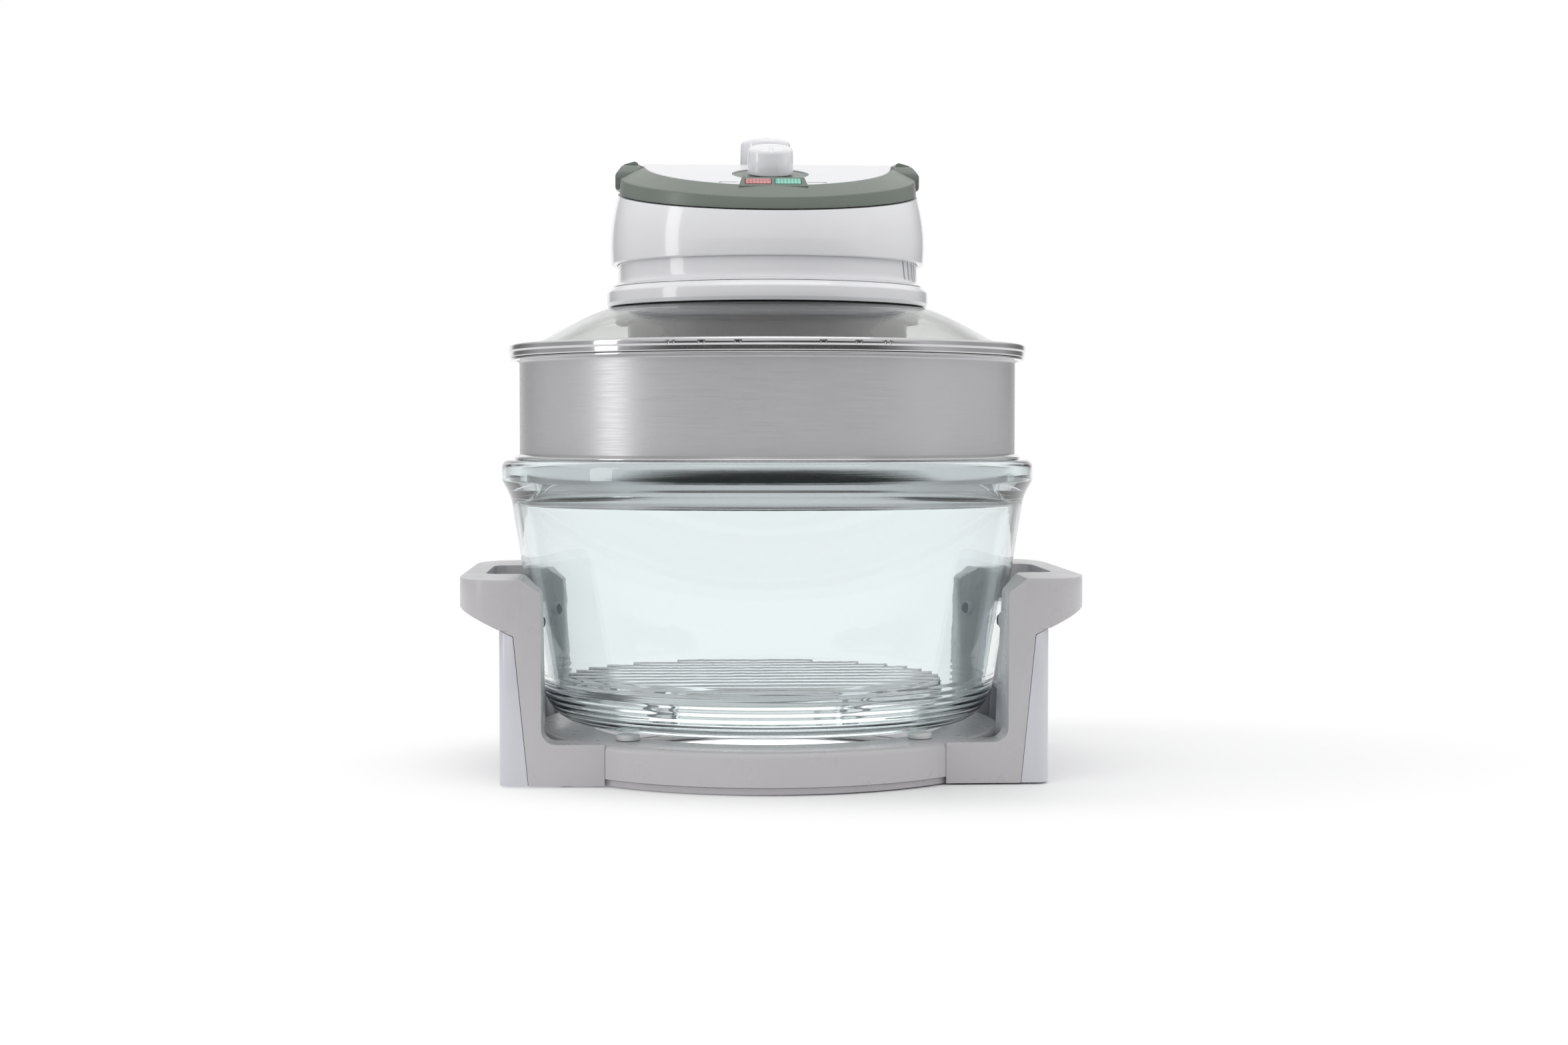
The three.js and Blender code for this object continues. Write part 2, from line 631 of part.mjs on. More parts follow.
clampAngles.forEach((angle, i) => {
  const headTop = shieldZ - sheet - GAP;
  addPiece(lid, `clamp_screw_${i + 1}`, join(
    rod(polar(clampRadius, angle, headTop - screwHeadDepth), polar(clampRadius, angle, headTop), 4),
    rod(polar(clampRadius, angle, headTop - 1), polar(clampRadius, angle, collarZ + 4), screwRadius),
  ), steel);
});

// ---------------------------------------------------------------- head shells

const collarFloor = 2.5;
const collarRadius = headRadius + 2;
addPiece(lid, 'collar', cut(turned([
  [lidHoleRadius / 2, collarZ],
  [collarRadius - 0.6, collarZ],
  [collarRadius, collarZ + 1],
  [collarRadius, collarZ + collarHeight - 3.1],
  [collarRadius - 3, collarZ + collarHeight],
  [neckRadius - 5, collarZ + collarHeight],
  [neckRadius - 5, collarZ + collarHeight - shellWall],
  [collarRadius - 4, collarZ + collarHeight - shellWall],
  [collarRadius - shellWall, collarZ + collarFloor + 2],
  [collarRadius - shellWall, collarZ + collarFloor],
  [lidHoleRadius / 2, collarZ + collarFloor],
]), ...clampHoles(screwRadius + GAP)), whitePlastic);

const ventGroups = [60, 150]; // first slot of each group, degrees from the front
const ventCutters = ventGroups.flatMap((first) => Array.from({ length: ventSlots }, (_, i) => {
  const angle = first + i * ventPitch - 90;
  const z = neckTopZ - 0.8 - ventHeight / 2;
  const slot = new THREE.BoxGeometry(4 * shellWall, ventWidth, ventHeight);
  slot.rotateX(THREE.MathUtils.degToRad(ventTilt)).translate(neckRadius - shellWall / 2, 0, z);
  return toSolid(slot.rotateZ(THREE.MathUtils.degToRad(angle)));
}));
addPiece(lid, 'lower_housing', cut(turned([
  [neckRadius - 8, neckZ],
  [neckRadius, neckZ],
  [neckRadius, neckTopZ],
  [neckRadius - shellWall, neckTopZ],
  [neckRadius - shellWall, neckZ + 2],
  [neckRadius - 8, neckZ + 2],
]), ...ventCutters), whitePlastic);

const housingShoulder = headRadius - 5.4;
const deckInner = panelRadius + 1;
const pivotZ = housingTopZ + 9;
const lipZ = neckTopZ + GAP;
const frontCut = (level, slope) => {
  const reach = 2 * headRadius;
  return alongX([[0, level], [-reach, level - slope * reach], [-reach, level + reach], [0, level + reach]],
    -reach, reach);
};
const grommetZ = neckTopZ + 14;
const grommetRadius = 7;
const plungerY = headRadius - 12;
const plungerRadius = 2.4;
addPiece(lid, 'upper_housing', cut(turned([
  [neckRadius - 5, lipZ],
  [neckRadius + 2 * GAP, lipZ],
  [neckRadius + 2 * GAP, neckTopZ - 1],
  [headRadius - 1.2, neckTopZ - 1],
  [headRadius - 0.5, neckTopZ],
  [headRadius, neckTopZ + 14],
  [headRadius - 1, neckTopZ + 21],
  [housingShoulder, housingTopZ],
  [deckInner, housingTopZ],
  [deckInner, housingTopZ - shellWall],
  [housingShoulder - 2.7, housingTopZ - shellWall],
  [headRadius - 1 - shellWall, neckTopZ + 20.5],
  [headRadius - shellWall, neckTopZ + 14],
  [headRadius - shellWall, lipZ + 2],
  [neckRadius - 5, lipZ + 2],
]),
frontCut(housingTopZ - GAP, housingLean),
rod([0, headRadius - 12, grommetZ], [0, headRadius + 2, grommetZ], grommetRadius - 1.5 + GAP, 16),
rod([0, plungerY, housingTopZ - 5], [0, plungerY, housingTopZ + 5], plungerRadius + GAP, 12),
), whitePlastic);

addPiece(lid, 'cord_grommet', cut(join(
  rod([0, headRadius - 8, grommetZ], [0, headRadius + 4, grommetZ], grommetRadius - 1.5, 16),
  rod([0, headRadius + GAP + 0.4, grommetZ], [0, headRadius + 5, grommetZ], grommetRadius, 16),
), rod([0, headRadius - 9, grommetZ], [0, headRadius + 6, grommetZ], 3.2, 12)), blackPlastic);

// The front half leans forward: each height drops with the distance in front of the axis.
const leaned = (profile, segments) => {
  const geometry = turnedGeometry(profile, segments);
  const place = geometry.attributes.position;
  for (let i = 0; i < place.count; i += 1) {
    const [y, z] = [place.getY(i), place.getZ(i)];
    const lean = between(z, [housingTopZ, panelZ], [housingLean, panelLean]);
    if (y < 0) place.setZ(i, z + lean * y);
  }
  return toSolid(geometry);
};
const trimEndY = bailPivotY - bailEar - 7.5;
const trimEnd = block(-2 * headRadius, 2 * headRadius, trimEndY, 2 * headRadius, 0, 2 * panelZ);
const slopeAngle = Math.atan(panelLean);
const slopeAt = (y) => new THREE.Matrix4()
  .makeTranslation(0, y, panelZ + panelLean * y).multiply(new THREE.Matrix4().makeRotationX(slopeAngle));
// The trim's tab carries the two lenses. It fills a notch in the panel's front edge, and its face
// is steeper than the panel: [along the slope, above the slope].
const tabY = -panelRadius + 5;
const tabBack = 1.6;
const tabDepth = 2.4;
const tabFoot = [-7.6, -0.6];
const tabCrest = [1, 3.4];
const tabWidth = lensWidth + 5.2;
const tabTaper = 2.2; // how much narrower each side is at the back
const tabOverPanel = alongX([
  [tabBack, -tabDepth], [tabBack, tabCrest[1] - 0.6], tabCrest, tabFoot, [tabFoot[0], -tabDepth],
], -tabWidth, tabWidth);
const tabPlan = (grow) => alongZ([
  [-tabWidth - grow, tabFoot[0]], [tabWidth + grow, tabFoot[0]],
  [tabWidth - tabTaper + grow, tabBack + grow], [tabTaper - tabWidth - grow, tabBack + grow],
], -2 * tabDepth, 2 * tabCrest[1]);
const tab = moved(tabOverPanel.intersect(tabPlan(0)), slopeAt(tabY));
const tabNotch = moved(tabPlan(GAP), slopeAt(tabY));
const lensTilt = Math.atan2(tabCrest[1] - tabFoot[1], tabCrest[0] - tabFoot[0]);
const lensPlace = slopeAt(tabY).multiply(new THREE.Matrix4()
  .makeTranslation(0, (tabCrest[0] + tabFoot[0]) / 2, (tabCrest[1] + tabFoot[1]) / 2))
  .multiply(new THREE.Matrix4().makeRotationX(lensTilt));
const lensX = lensWidth / 2 + 1.2;
const lensSink = 1.4;
const lensBlock = (side, grow, z0, z1) => moved(block(
  side * lensX - lensWidth / 2 - grow, side * lensX + lensWidth / 2 + grow,
  -lensDepth / 2 - grow, lensDepth / 2 + grow, z0, z1), lensPlace);
const lensPocket = (side) => lensBlock(side, GAP, -lensSink, 5);
addPiece(lid, 'front_trim', cut(join(leaned([
  [housingShoulder, housingTopZ + GAP],
  [housingShoulder - 0.6, housingTopZ + trimHeight],
  [panelRadius + 0.5, panelZ],
  [panelRadius + 0.5, panelZ - 3],
  [housingShoulder - 3.6, housingTopZ + trimHeight - 2.4],
  [housingShoulder - 2.6, housingTopZ + GAP],
]), tab), trimEnd, lensPocket(-1), lensPocket(1)), greyPlastic);
[['red', -1, redLens], ['green', 1, greenLens]].forEach(([colour, side, material]) => {
  addPiece(lid, `${colour}_lens`, lensBlock(side, 0, GAP - lensSink, 0.4), material);
});

const frontDialY = -(panelRadius - frontDial.inset);
const rearDialY = panelRadius - rearDial.inset;
const rearPlace = new THREE.Matrix4().makeTranslation(0, rearDialY, panelZ);
const dials = [
  { ...frontDial, place: slopeAt(frontDialY), name: 'front', knob: 'thermostat_knob',
    unit: 'thermostat_unit', unitSize: 15, unitDepth: 20 },
  { ...rearDial, place: rearPlace, name: 'rear', knob: 'timer_knob', unit: 'timer_unit',
    unitSize: 20, unitDepth: 24 },
];
const skirtBottom = housingTopZ + 2;
const studHole = rod([-panelRadius - 1, bailPivotY, pivotZ], [panelRadius + 1, bailPivotY, pivotZ],
  studRadius + GAP, 12);
addPiece(lid, 'control_panel', cut(leaned([
  [0, panelZ - panelThickness],
  [panelRadius - shellWall, panelZ - panelThickness],
  [panelRadius - shellWall, skirtBottom],
  [panelRadius, skirtBottom],
  [panelRadius, panelZ - 0.8],
  [panelRadius - 0.8, panelZ],
  [0, panelZ],
]), ...dials.flatMap(({ radius, place }) => [
  moved(disc(radius + GAP, -dialSink, 3, MIDDLE_ROUND), place),
  moved(disc(stemRadius + 3 * GAP, -2 * panelThickness, 3), place),
]), studHole, tabNotch), whitePlastic);

const stemDepth = 9;
dials.forEach(({ radius, place, name, knob, knobRadius, knobHeight, unit, unitSize, unitDepth }) => {
  addPiece(lid, `${name}_dial`,
    moved(tube(stemRadius + 2 * GAP, radius, GAP - dialSink, -GAP, MIDDLE_ROUND), place), greyPlastic);
  const knobBody = turned([
    [0, -stemDepth],
    [stemRadius, -stemDepth],
    [stemRadius, GAP],
    [knobRadius - 0.6, GAP],
    [knobRadius, 1.2],
    [knobRadius - 0.5, knobHeight - 3.4],
    [knobRadius - 3.4, knobHeight - 0.5],
    [0, knobHeight],
  ], MIDDLE_ROUND);
  const notch = toSolid(new THREE.ConeGeometry(3, 7, 8).rotateX(-Math.PI / 2)
    .translate(0, -knobRadius + 1, knobHeight + 0.3));
  addPiece(lid, knob, moved(cut(knobBody, notch), place), whitePlastic);
  const unitTop = -panelThickness - 2 * GAP;
  addPiece(lid, unit, moved(cut(
    block(-unitSize, unitSize, -unitSize, unitSize, unitTop - unitDepth, unitTop),
    disc(stemRadius + GAP, -stemDepth - GAP, 0),
  ), place), blackPlastic);
});

// ---------------------------------------------------------------- carrying handle and its safety switch

const bailInner = panelRadius + 3.5;
const bailOuter = bailInner + bailBand;
const bailBottomZ = housingTopZ + 2;
const bailEarSolid = rod([-2 * headRadius, bailPivotY, pivotZ], [2 * headRadius, bailPivotY, pivotZ],
  bailEar, SMALL_ROUND);
const behindPivot = block(-2 * headRadius, 2 * headRadius, bailPivotY, 2 * headRadius, 0, 2 * panelZ);
const bailBandSolid = turned([
  [bailInner, bailBottomZ],
  [bailOuter, bailBottomZ],
  [bailOuter, bailBottomZ + bailHeight / 2],
  [bailOuter - 5, bailBottomZ + bailHeight - 2],
  [bailInner + 2, bailBottomZ + bailHeight],
  [bailInner, bailBottomZ + bailHeight - 1],
]);
const studs = [-1, 1].map((side) => rod([side * (panelRadius - studDepth), bailPivotY, pivotZ],
  [side * (bailInner + 3), bailPivotY, pivotZ], studRadius, 12));
addPiece(lid, 'carrying_handle',
  join(bailBandSolid.intersect(join(behindPivot, bailEarSolid)), ...studs), greyPlastic);

const plungerStroke = 2;
const switchTop = housingTopZ - shellWall - GAP;
addPiece(lid, 'safety_switch', cut(
  block(-8, 8, plungerY - 5.5, plungerY + 3.2, switchTop - 15, switchTop),
  disc(plungerRadius + GAP, switchTop - 10, switchTop + 1, 12).translate([0, plungerY, 0]),
), blackPlastic);
addPiece(lid, 'switch_plunger',
  disc(plungerRadius, switchTop - 9, bailBottomZ - GAP - 0.1, 12).translate([0, plungerY, 0]), whitePlastic);

// ---------------------------------------------------------------- fan drive

const bracketZ = neckZ + 2 + GAP;
const motorZ = bracketZ + 2 + GAP;
const shaftTop = motorZ + motorHeight - 6;
const fanZ = reflectorZ - 14;
addPiece(lid, 'motor_bracket', cut(
  block(-neckRadius + 5, neckRadius - 5, -18, 18, bracketZ, bracketZ + 2),
  disc(boreRadius, bracketZ - 1, bracketZ + 3),
), steel);
addPiece(lid, 'fan_motor', cut(turned([
  [0, motorZ], [motorRadius, motorZ], [motorRadius, motorZ + motorHeight - 4],
  [motorRadius - 6, motorZ + motorHeight], [0, motorZ + motorHeight],
], 24), disc(shaftRadius + GAP, motorZ - 1, shaftTop + GAP, 12)), darkEnamel);
addPiece(lid, 'motor_shaft', disc(shaftRadius, fanZ + 2 + GAP, shaftTop, 12), steel);

const impeller = (z, height, radius, hubRadius, blades, hubBore, pitch) => {
  const blade = new THREE.BoxGeometry(radius - hubRadius + 2, 1.2, height);
  blade.rotateX(THREE.MathUtils.degToRad(pitch)).translate((radius + hubRadius - 2) / 2, 0, z + height / 2);
  const blades3d = Array.from({ length: blades }, (_, i) =>
    toSolid(blade.clone().rotateZ((2 * Math.PI * i) / blades)));
  return cut(join(disc(hubRadius, z, z + height), ...blades3d), hubBore);
};
addPiece(lid, 'fan_blade', impeller(fanZ, 10, fanRadius, 9, 6,
  disc(shaftRadius + GAP, fanZ + 2, fanZ + 20, 12), 35), steel);
const coolingZ = collarZ + collarFloor + 1.5;
addPiece(lid, 'cooling_fan', impeller(coolingZ, 7, coolingFanRadius, 8, 8,
  disc(shaftRadius + GAP, coolingZ - 1, coolingZ + 20, 12), 25), blackPlastic);

export default oven;
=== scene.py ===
import json
import logging
import math
from collections.abc import Iterable, Sequence
from dataclasses import dataclass
from enum import Enum

import bmesh
import bpy
from mathutils import Matrix, Vector

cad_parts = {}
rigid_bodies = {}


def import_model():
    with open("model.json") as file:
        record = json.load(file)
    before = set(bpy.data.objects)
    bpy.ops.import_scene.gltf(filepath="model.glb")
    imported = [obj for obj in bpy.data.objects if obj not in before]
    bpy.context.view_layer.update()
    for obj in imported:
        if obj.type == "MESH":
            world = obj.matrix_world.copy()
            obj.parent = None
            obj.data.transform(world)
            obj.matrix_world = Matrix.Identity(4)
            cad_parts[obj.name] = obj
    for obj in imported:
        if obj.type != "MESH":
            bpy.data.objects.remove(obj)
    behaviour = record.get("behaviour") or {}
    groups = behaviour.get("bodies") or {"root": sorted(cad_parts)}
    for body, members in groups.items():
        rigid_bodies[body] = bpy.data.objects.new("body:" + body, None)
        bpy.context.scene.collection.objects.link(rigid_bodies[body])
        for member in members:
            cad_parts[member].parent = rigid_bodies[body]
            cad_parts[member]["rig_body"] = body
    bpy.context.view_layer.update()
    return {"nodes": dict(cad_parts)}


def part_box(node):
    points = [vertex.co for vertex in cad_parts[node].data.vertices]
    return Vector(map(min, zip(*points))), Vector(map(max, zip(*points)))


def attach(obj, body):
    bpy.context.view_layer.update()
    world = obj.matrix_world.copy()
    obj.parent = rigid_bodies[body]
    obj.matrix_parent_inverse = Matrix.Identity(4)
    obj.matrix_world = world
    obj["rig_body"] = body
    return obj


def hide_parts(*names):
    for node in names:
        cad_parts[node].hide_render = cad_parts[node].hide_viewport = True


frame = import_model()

MM = 0.001
GRAIN = {"Roughness": 0.55}  # how strongly a noise pattern keeps its fine detail
MIDDLE = {"From Min": 0.3, "From Max": 0.7}  # the part of a noise pattern's range that it mostly holds
log = logging.getLogger("oven")


class Slot(Enum):
    """The record's material slots; each has one finish here."""

    WHITE = "white_plastic"
    STAND = "stand_plastic"
    COVER = "cover_plastic"
    GREY = "grey_plastic"
    BLACK = "black_plastic"
    GLASS = "tempered_glass"
    QUARTZ = "quartz_glass"
    STEEL = "stainless_steel"
    ZINC = "zinc_steel"
    CHROME = "chrome_steel"
    ENAMEL = "dark_enamel"
    RUBBER = "rubber"
    SILICONE = "silicone"
    CERAMIC = "ceramic"
    RED = "red_lens"
    GREEN = "green_lens"


class Axis(Enum):
    """The direction that an outline is extruded along, with the two directions that it is drawn in."""

    X = ((0, 1, 0), (0, 0, 1), (1, 0, 0))
    Y = ((1, 0, 0), (0, 0, 1), (0, 1, 0))
    Z = ((1, 0, 0), (0, 1, 0), (0, 0, 1))


# ---------------------------------------------------------------- colour and nodes


def linear(hex_colour: str) -> tuple[float, float, float, float]:
    """Turns an sRGB hex colour into the linear colour that shaders take.

    Args:
        hex_colour: Six hex digits, with or without a leading #.

    Returns:
        Red, green, blue and an alpha of one.
    """
    digits = hex_colour.lstrip("#")
    channels = [int(digits[i : i + 2], 16) / 255 for i in (0, 2, 4)]
    values = [c / 12.92 if c <= 0.04045 else ((c + 0.055) / 1.055) ** 2.4 for c in channels]
    return (*values, 1.0)


def add_node(tree: bpy.types.NodeTree, kind: str, inputs: dict | None = None,
             ramp: Sequence[str] = (), **settings) -> bpy.types.Node:
    """Adds a node with its settings, values and links.

    Args:
        tree: The node tree that takes the node.
        kind: The node's type name.
        inputs: Input name or number to a constant, or to the output socket that it is linked from. A
            whole node stands for its first output.
        ramp: Hex colours of a colour ramp's two ends.
        **settings: Properties of the node itself.

    Returns:
        The new node.
    """
    node = tree.nodes.new(kind)
    for key, value in settings.items():
        setattr(node, key, value)
    for element, colour in zip(node.color_ramp.elements if ramp else (), ramp):
        element.color = linear(colour)
    for key, value in (inputs or {}).items():
        if isinstance(value, bpy.types.Node):
            value = value.outputs[0]
        if isinstance(value, bpy.types.NodeSocket):
            tree.links.new(value, node.inputs[key])
        else:
            node.inputs[key].default_value = value
    return node


def new_material(name: str) -> tuple[bpy.types.Material, bpy.types.NodeTree, bpy.types.Node]:
    """Makes an empty node material.

    Args:
        name: The material's name.

    Returns:
        The material, its node tree and its output node.
    """
    material = bpy.data.materials.new(name)
    material.use_nodes = True
    tree = material.node_tree
    tree.nodes.clear()
    return material, tree, tree.nodes.new("ShaderNodeOutputMaterial")


def per_metre(size_mm: float) -> float:
    """Gives the texture scale whose features are about size_mm across."""
    return 1 / (size_mm * MM)


# ---------------------------------------------------------------- finishes


@dataclass(frozen=True)
class MouldedPlastic:
    """Injection-moulded plastic: a faint orange-peel from the mould and a little colour drift.

    Attributes:
        name: The material's name.
        colour: Main colour.
        shade: The second colour that it drifts towards.
        roughness: Middle of the roughness.
        ior: Index of refraction; ABS is 1.53 and polypropylene 1.49.
        peel_mm: Size of the orange-peel.
        depth_mm: Height of the orange-peel.
        sheen_coat: Strength of the polished skin.
        depth_scatter: How much light goes in and comes out again, for milky plastic.
        drift_mm: Size of the colour's drift.
        handling_mm: Size of the patches that handling has dulled.
    """

    name: str
    colour: str
    shade: str
    roughness: float
    ior: float = 1.53
    peel_mm: float = 3.5
    depth_mm: float = 0.005
    sheen_coat: float = 0.0
    depth_scatter: float = 0.0
    drift_mm: float = 45
    handling_mm: float = 14

    def material(self) -> bpy.types.Material:
        """Builds the node material."""
        material, tree, output = new_material(self.name)
        place = add_node(tree, "ShaderNodeTexCoord").outputs["Object"]
        peel, drift, handling = (
            add_node(tree, "ShaderNodeTexNoise", {
                "Vector": place, "Scale": per_metre(size), "Detail": detail, **GRAIN})
            for size, detail in ((self.peel_mm, 4), (self.drift_mm, 3), (self.handling_mm, 5)))
        shader = add_node(tree, "ShaderNodeBsdfPrincipled", {
            "Base Color": add_node(tree, "ShaderNodeValToRGB", {"Fac": drift}, (self.colour, self.shade)),
            "Roughness": add_node(tree, "ShaderNodeMapRange", {
                "Value": handling, **MIDDLE, "To Min": self.roughness * 0.85,
                "To Max": self.roughness * 1.15}),
            "IOR": self.ior,
            "Coat Weight": self.sheen_coat,
            "Coat Roughness": 0.04,
            "Subsurface Weight": self.depth_scatter,
            "Subsurface Radius": (0.004, 0.004, 0.004),
            "Subsurface Scale": 1.0,
            "Normal": add_node(tree, "ShaderNodeBump", {
                "Height": peel, "Distance": self.depth_mm * MM, "Strength": 1.0}),
        })
        tree.links.new(shader.outputs["BSDF"], output.inputs["Surface"])
        return material


@dataclass(frozen=True)
class TemperedGlass:
    """Pressed tempered glass: clear, with a cool tint through its thickness and faint smears.

    Attributes:
        name: The material's name.
        tint: Colour of the surface.
        depth_tint: Colour that long ways through the glass take.
        density: How fast that colour builds up, per metre.
        smear_mm: Size of the faint smears.
        wave_mm: Size of the waves that pressing leaves.
    """

    name: str
    tint: str = "F8FCFC"
    depth_tint: str = "AFD6DC"
    density: float = 7.0
    smear_mm: float = 60
    wave_mm: float = 30

    def material(self) -> bpy.types.Material:
        """Builds the node material, with light passing through to what stands behind."""
        material, tree, output = new_material(self.name)
        place = add_node(tree, "ShaderNodeTexCoord").outputs["Object"]
        smears, waves = (
            add_node(tree, "ShaderNodeTexNoise", {
                "Vector": place, "Scale": per_metre(size), "Detail": detail, **GRAIN})
            for size, detail in ((self.smear_mm, 5), (self.wave_mm, 3)))
        shader = add_node(tree, "ShaderNodeBsdfPrincipled", {
            "Base Color": linear(self.tint),
            "Transmission Weight": 1.0,
            "IOR": 1.52,
            "Roughness": add_node(tree, "ShaderNodeMapRange", {
                "Value": smears, **MIDDLE, "To Min": 0.0, "To Max": 0.02}),
            "Normal": add_node(tree, "ShaderNodeBump", {
                "Height": waves, "Distance": 0.05 * MM, "Strength": 1.0}),
        })
        clear = add_node(tree, "ShaderNodeBsdfTransparent", {"Color": linear(self.tint)})
        shadow = add_node(tree, "ShaderNodeLightPath").outputs["Is Shadow Ray"]
        mixed = add_node(tree, "ShaderNodeMixShader", {
            0: shadow, 1: shader.outputs["BSDF"], 2: clear.outputs["BSDF"]})
        depth = add_node(tree, "ShaderNodeVolumeAbsorption", {
            "Color": linear(self.depth_tint), "Density": self.density})
        tree.links.new(mixed.outputs["Shader"], output.inputs["Surface"])
        tree.links.new(depth.outputs["Volume"], output.inputs["Volume"])
        return material


@dataclass(frozen=True)
class BrushedSteel:
    """Stainless sheet with a turned satin finish: fine strokes run round the axis.

    Attributes:
        name: The material's name.
        colour: Colour of the metal.
        shade: Colour of the duller patches.
        roughness: Middle of the roughness.
        stroke_mm: Spacing of the strokes, drawn coarser than real so that they show.
        pull: Strength of the anisotropy, which spreads light across the strokes.
        patch_mm: Size of the duller patches.
    """

    name: str
    colour: str
    shade: str
    roughness: float
    stroke_mm: float = 0.6
    pull: float = 0.7
    patch_mm: float = 35

    def material(self) -> bpy.types.Material:
        """Builds the node material."""
        material, tree, output = new_material(self.name)
        place = add_node(tree, "ShaderNodeTexCoord").outputs["Object"]
        drawn_out = add_node(tree, "ShaderNodeMapping", {"Vector": place, "Scale": (0.02, 0.02, 1.0)})
        strokes = add_node(tree, "ShaderNodeTexNoise", {
            "Vector": drawn_out, "Scale": per_metre(self.stroke_mm), "Detail": 4, **GRAIN})
        patches = add_node(tree, "ShaderNodeTexNoise", {
            "Vector": place, "Scale": per_metre(self.patch_mm), "Detail": 4, **GRAIN})
        shader = add_node(tree, "ShaderNodeBsdfPrincipled", {
            "Base Color": add_node(tree, "ShaderNodeValToRGB", {"Fac": patches}, (self.colour, self.shade)),
            "Metallic": 1.0,
            "Roughness": add_node(tree, "ShaderNodeMapRange", {
                "Value": strokes, **MIDDLE, "To Min": self.roughness * 0.8, "To Max": self.roughness * 1.2}),
            "Anisotropic": self.pull,
            "Anisotropic Rotation": 0.25,
            "Tangent": add_node(tree, "ShaderNodeTangent", direction_type="RADIAL", axis="Z"),
            "Normal": add_node(tree, "ShaderNodeBump", {
                "Height": strokes, "Distance": 0.01 * MM, "Strength": 1.0}),
        })
        tree.links.new(shader.outputs["BSDF"], output.inputs["Surface"])
        return material


@dataclass(frozen=True)
class PlatedMetal:
    """Plated or enamelled metal: an even skin with faint ripples and handling marks.

    Attributes:
        name: The material's name.
        colour: Colour of the skin.
        shade: Colour of the marks.
        roughness: Middle of the roughness.
        metallic: One for plating, zero for enamel.
        mark_mm: Size of the handling marks.
        ripple_mm: Size of the ripples.
    """

    name: str
    colour: str
    shade: str
    roughness: float
    metallic: float = 1.0
    mark_mm: float = 9
    ripple_mm: float = 4

    def material(self) -> bpy.types.Material:
        """Builds the node material."""
        material, tree, output = new_material(self.name)
        place = add_node(tree, "ShaderNodeTexCoord").outputs["Object"]
        marks, ripples = (
            add_node(tree, "ShaderNodeTexNoise", {
                "Vector": place, "Scale": per_metre(size), "Detail": detail, **GRAIN})
            for size, detail in ((self.mark_mm, 6), (self.ripple_mm, 3)))
        shader = add_node(tree, "ShaderNodeBsdfPrincipled", {
            "Base Color": add_node(tree, "ShaderNodeValToRGB", {"Fac": marks}, (self.colour, self.shade)),
            "Metallic": self.metallic,
            "Roughness": add_node(tree, "ShaderNodeMapRange", {
                "Value": marks, **MIDDLE, "To Min": self.roughness * 0.7, "To Max": self.roughness * 1.4}),
            "Normal": add_node(tree, "ShaderNodeBump", {
                "Height": ripples, "Distance": 0.02 * MM, "Strength": 0.6}),
        })
        tree.links.new(shader.outputs["BSDF"], output.inputs["Surface"])
        return material


@dataclass(frozen=True)
class SoftMoulding:
    """Moulded rubber, silicone or fired ceramic: matte, with a fine grain.

    Attributes:
        name: The material's name.
        colour: Main colour.
        shade: Colour in the grain's hollows.
        roughness: Middle of the roughness.
        grain_mm: Size of the grain.
        depth_scatter: How far light goes in, for milky silicone.
        cloud_mm: Size of the colour's clouds.
    """

    name: str
    colour: str
    shade: str
    roughness: float
    grain_mm: float = 0.5
    depth_scatter: float = 0.0
    cloud_mm: float = 6

    def material(self) -> bpy.types.Material:
        """Builds the node material."""
        material, tree, output = new_material(self.name)
        place = add_node(tree, "ShaderNodeTexCoord").outputs["Object"]
        grain, clouds = (
            add_node(tree, "ShaderNodeTexNoise", {
                "Vector": place, "Scale": per_metre(size), "Detail": detail, **GRAIN})
            for size, detail in ((self.grain_mm, 4), (self.cloud_mm, 4)))
        shader = add_node(tree, "ShaderNodeBsdfPrincipled", {
            "Base Color": add_node(tree, "ShaderNodeValToRGB", {"Fac": clouds}, (self.colour, self.shade)),
            "Roughness": add_node(tree, "ShaderNodeMapRange", {
                "Value": grain, **MIDDLE,
                "To Min": self.roughness * 0.9, "To Max": min(1.0, self.roughness * 1.1)}),
            "Subsurface Weight": self.depth_scatter,
            "Subsurface Radius": (0.003, 0.003, 0.003),
            "Subsurface Scale": 1.0,
            "Normal": add_node(tree, "ShaderNodeBump", {
                "Height": grain, "Distance": 0.04 * MM, "Strength": 1.0}),
        })
        tree.links.new(shader.outputs["BSDF"], output.inputs["Surface"])
        return material


@dataclass(frozen=True)
class LensPlastic:
    """Tinted clear acrylic over an unlit lamp, with fine ribs moulded on its back.

    Attributes:
        name: The material's name.
        colour: Colour of the lens.
        deep: Colour between the ribs.
        rib_mm: Sets the ribs' spacing; the wave repeats about three times in this length.
    """

    name: str
    colour: str
    deep: str
    rib_mm: float = 6.5

    def material(self) -> bpy.types.Material:
        """Builds the node material."""
        material, tree, output = new_material(self.name)
        place = add_node(tree, "ShaderNodeTexCoord").outputs["Object"]
        ribs = add_node(tree, "ShaderNodeTexWave", {
            "Vector": place, "Scale": per_metre(self.rib_mm), "Distortion": 0.2}, bands_direction="X")
        shader = add_node(tree, "ShaderNodeBsdfPrincipled", {
            "Base Color": add_node(tree, "ShaderNodeValToRGB", {"Fac": ribs.outputs["Fac"]},
                                   (self.deep, self.colour)),
            "Roughness": 0.12,
            "IOR": 1.49,
            "Coat Weight": 0.6,
            "Subsurface Weight": 0.4,
            "Subsurface Radius": (0.002, 0.002, 0.002),
            "Subsurface Scale": 1.0,
        })
        tree.links.new(shader.outputs["BSDF"], output.inputs["Surface"])
        return material


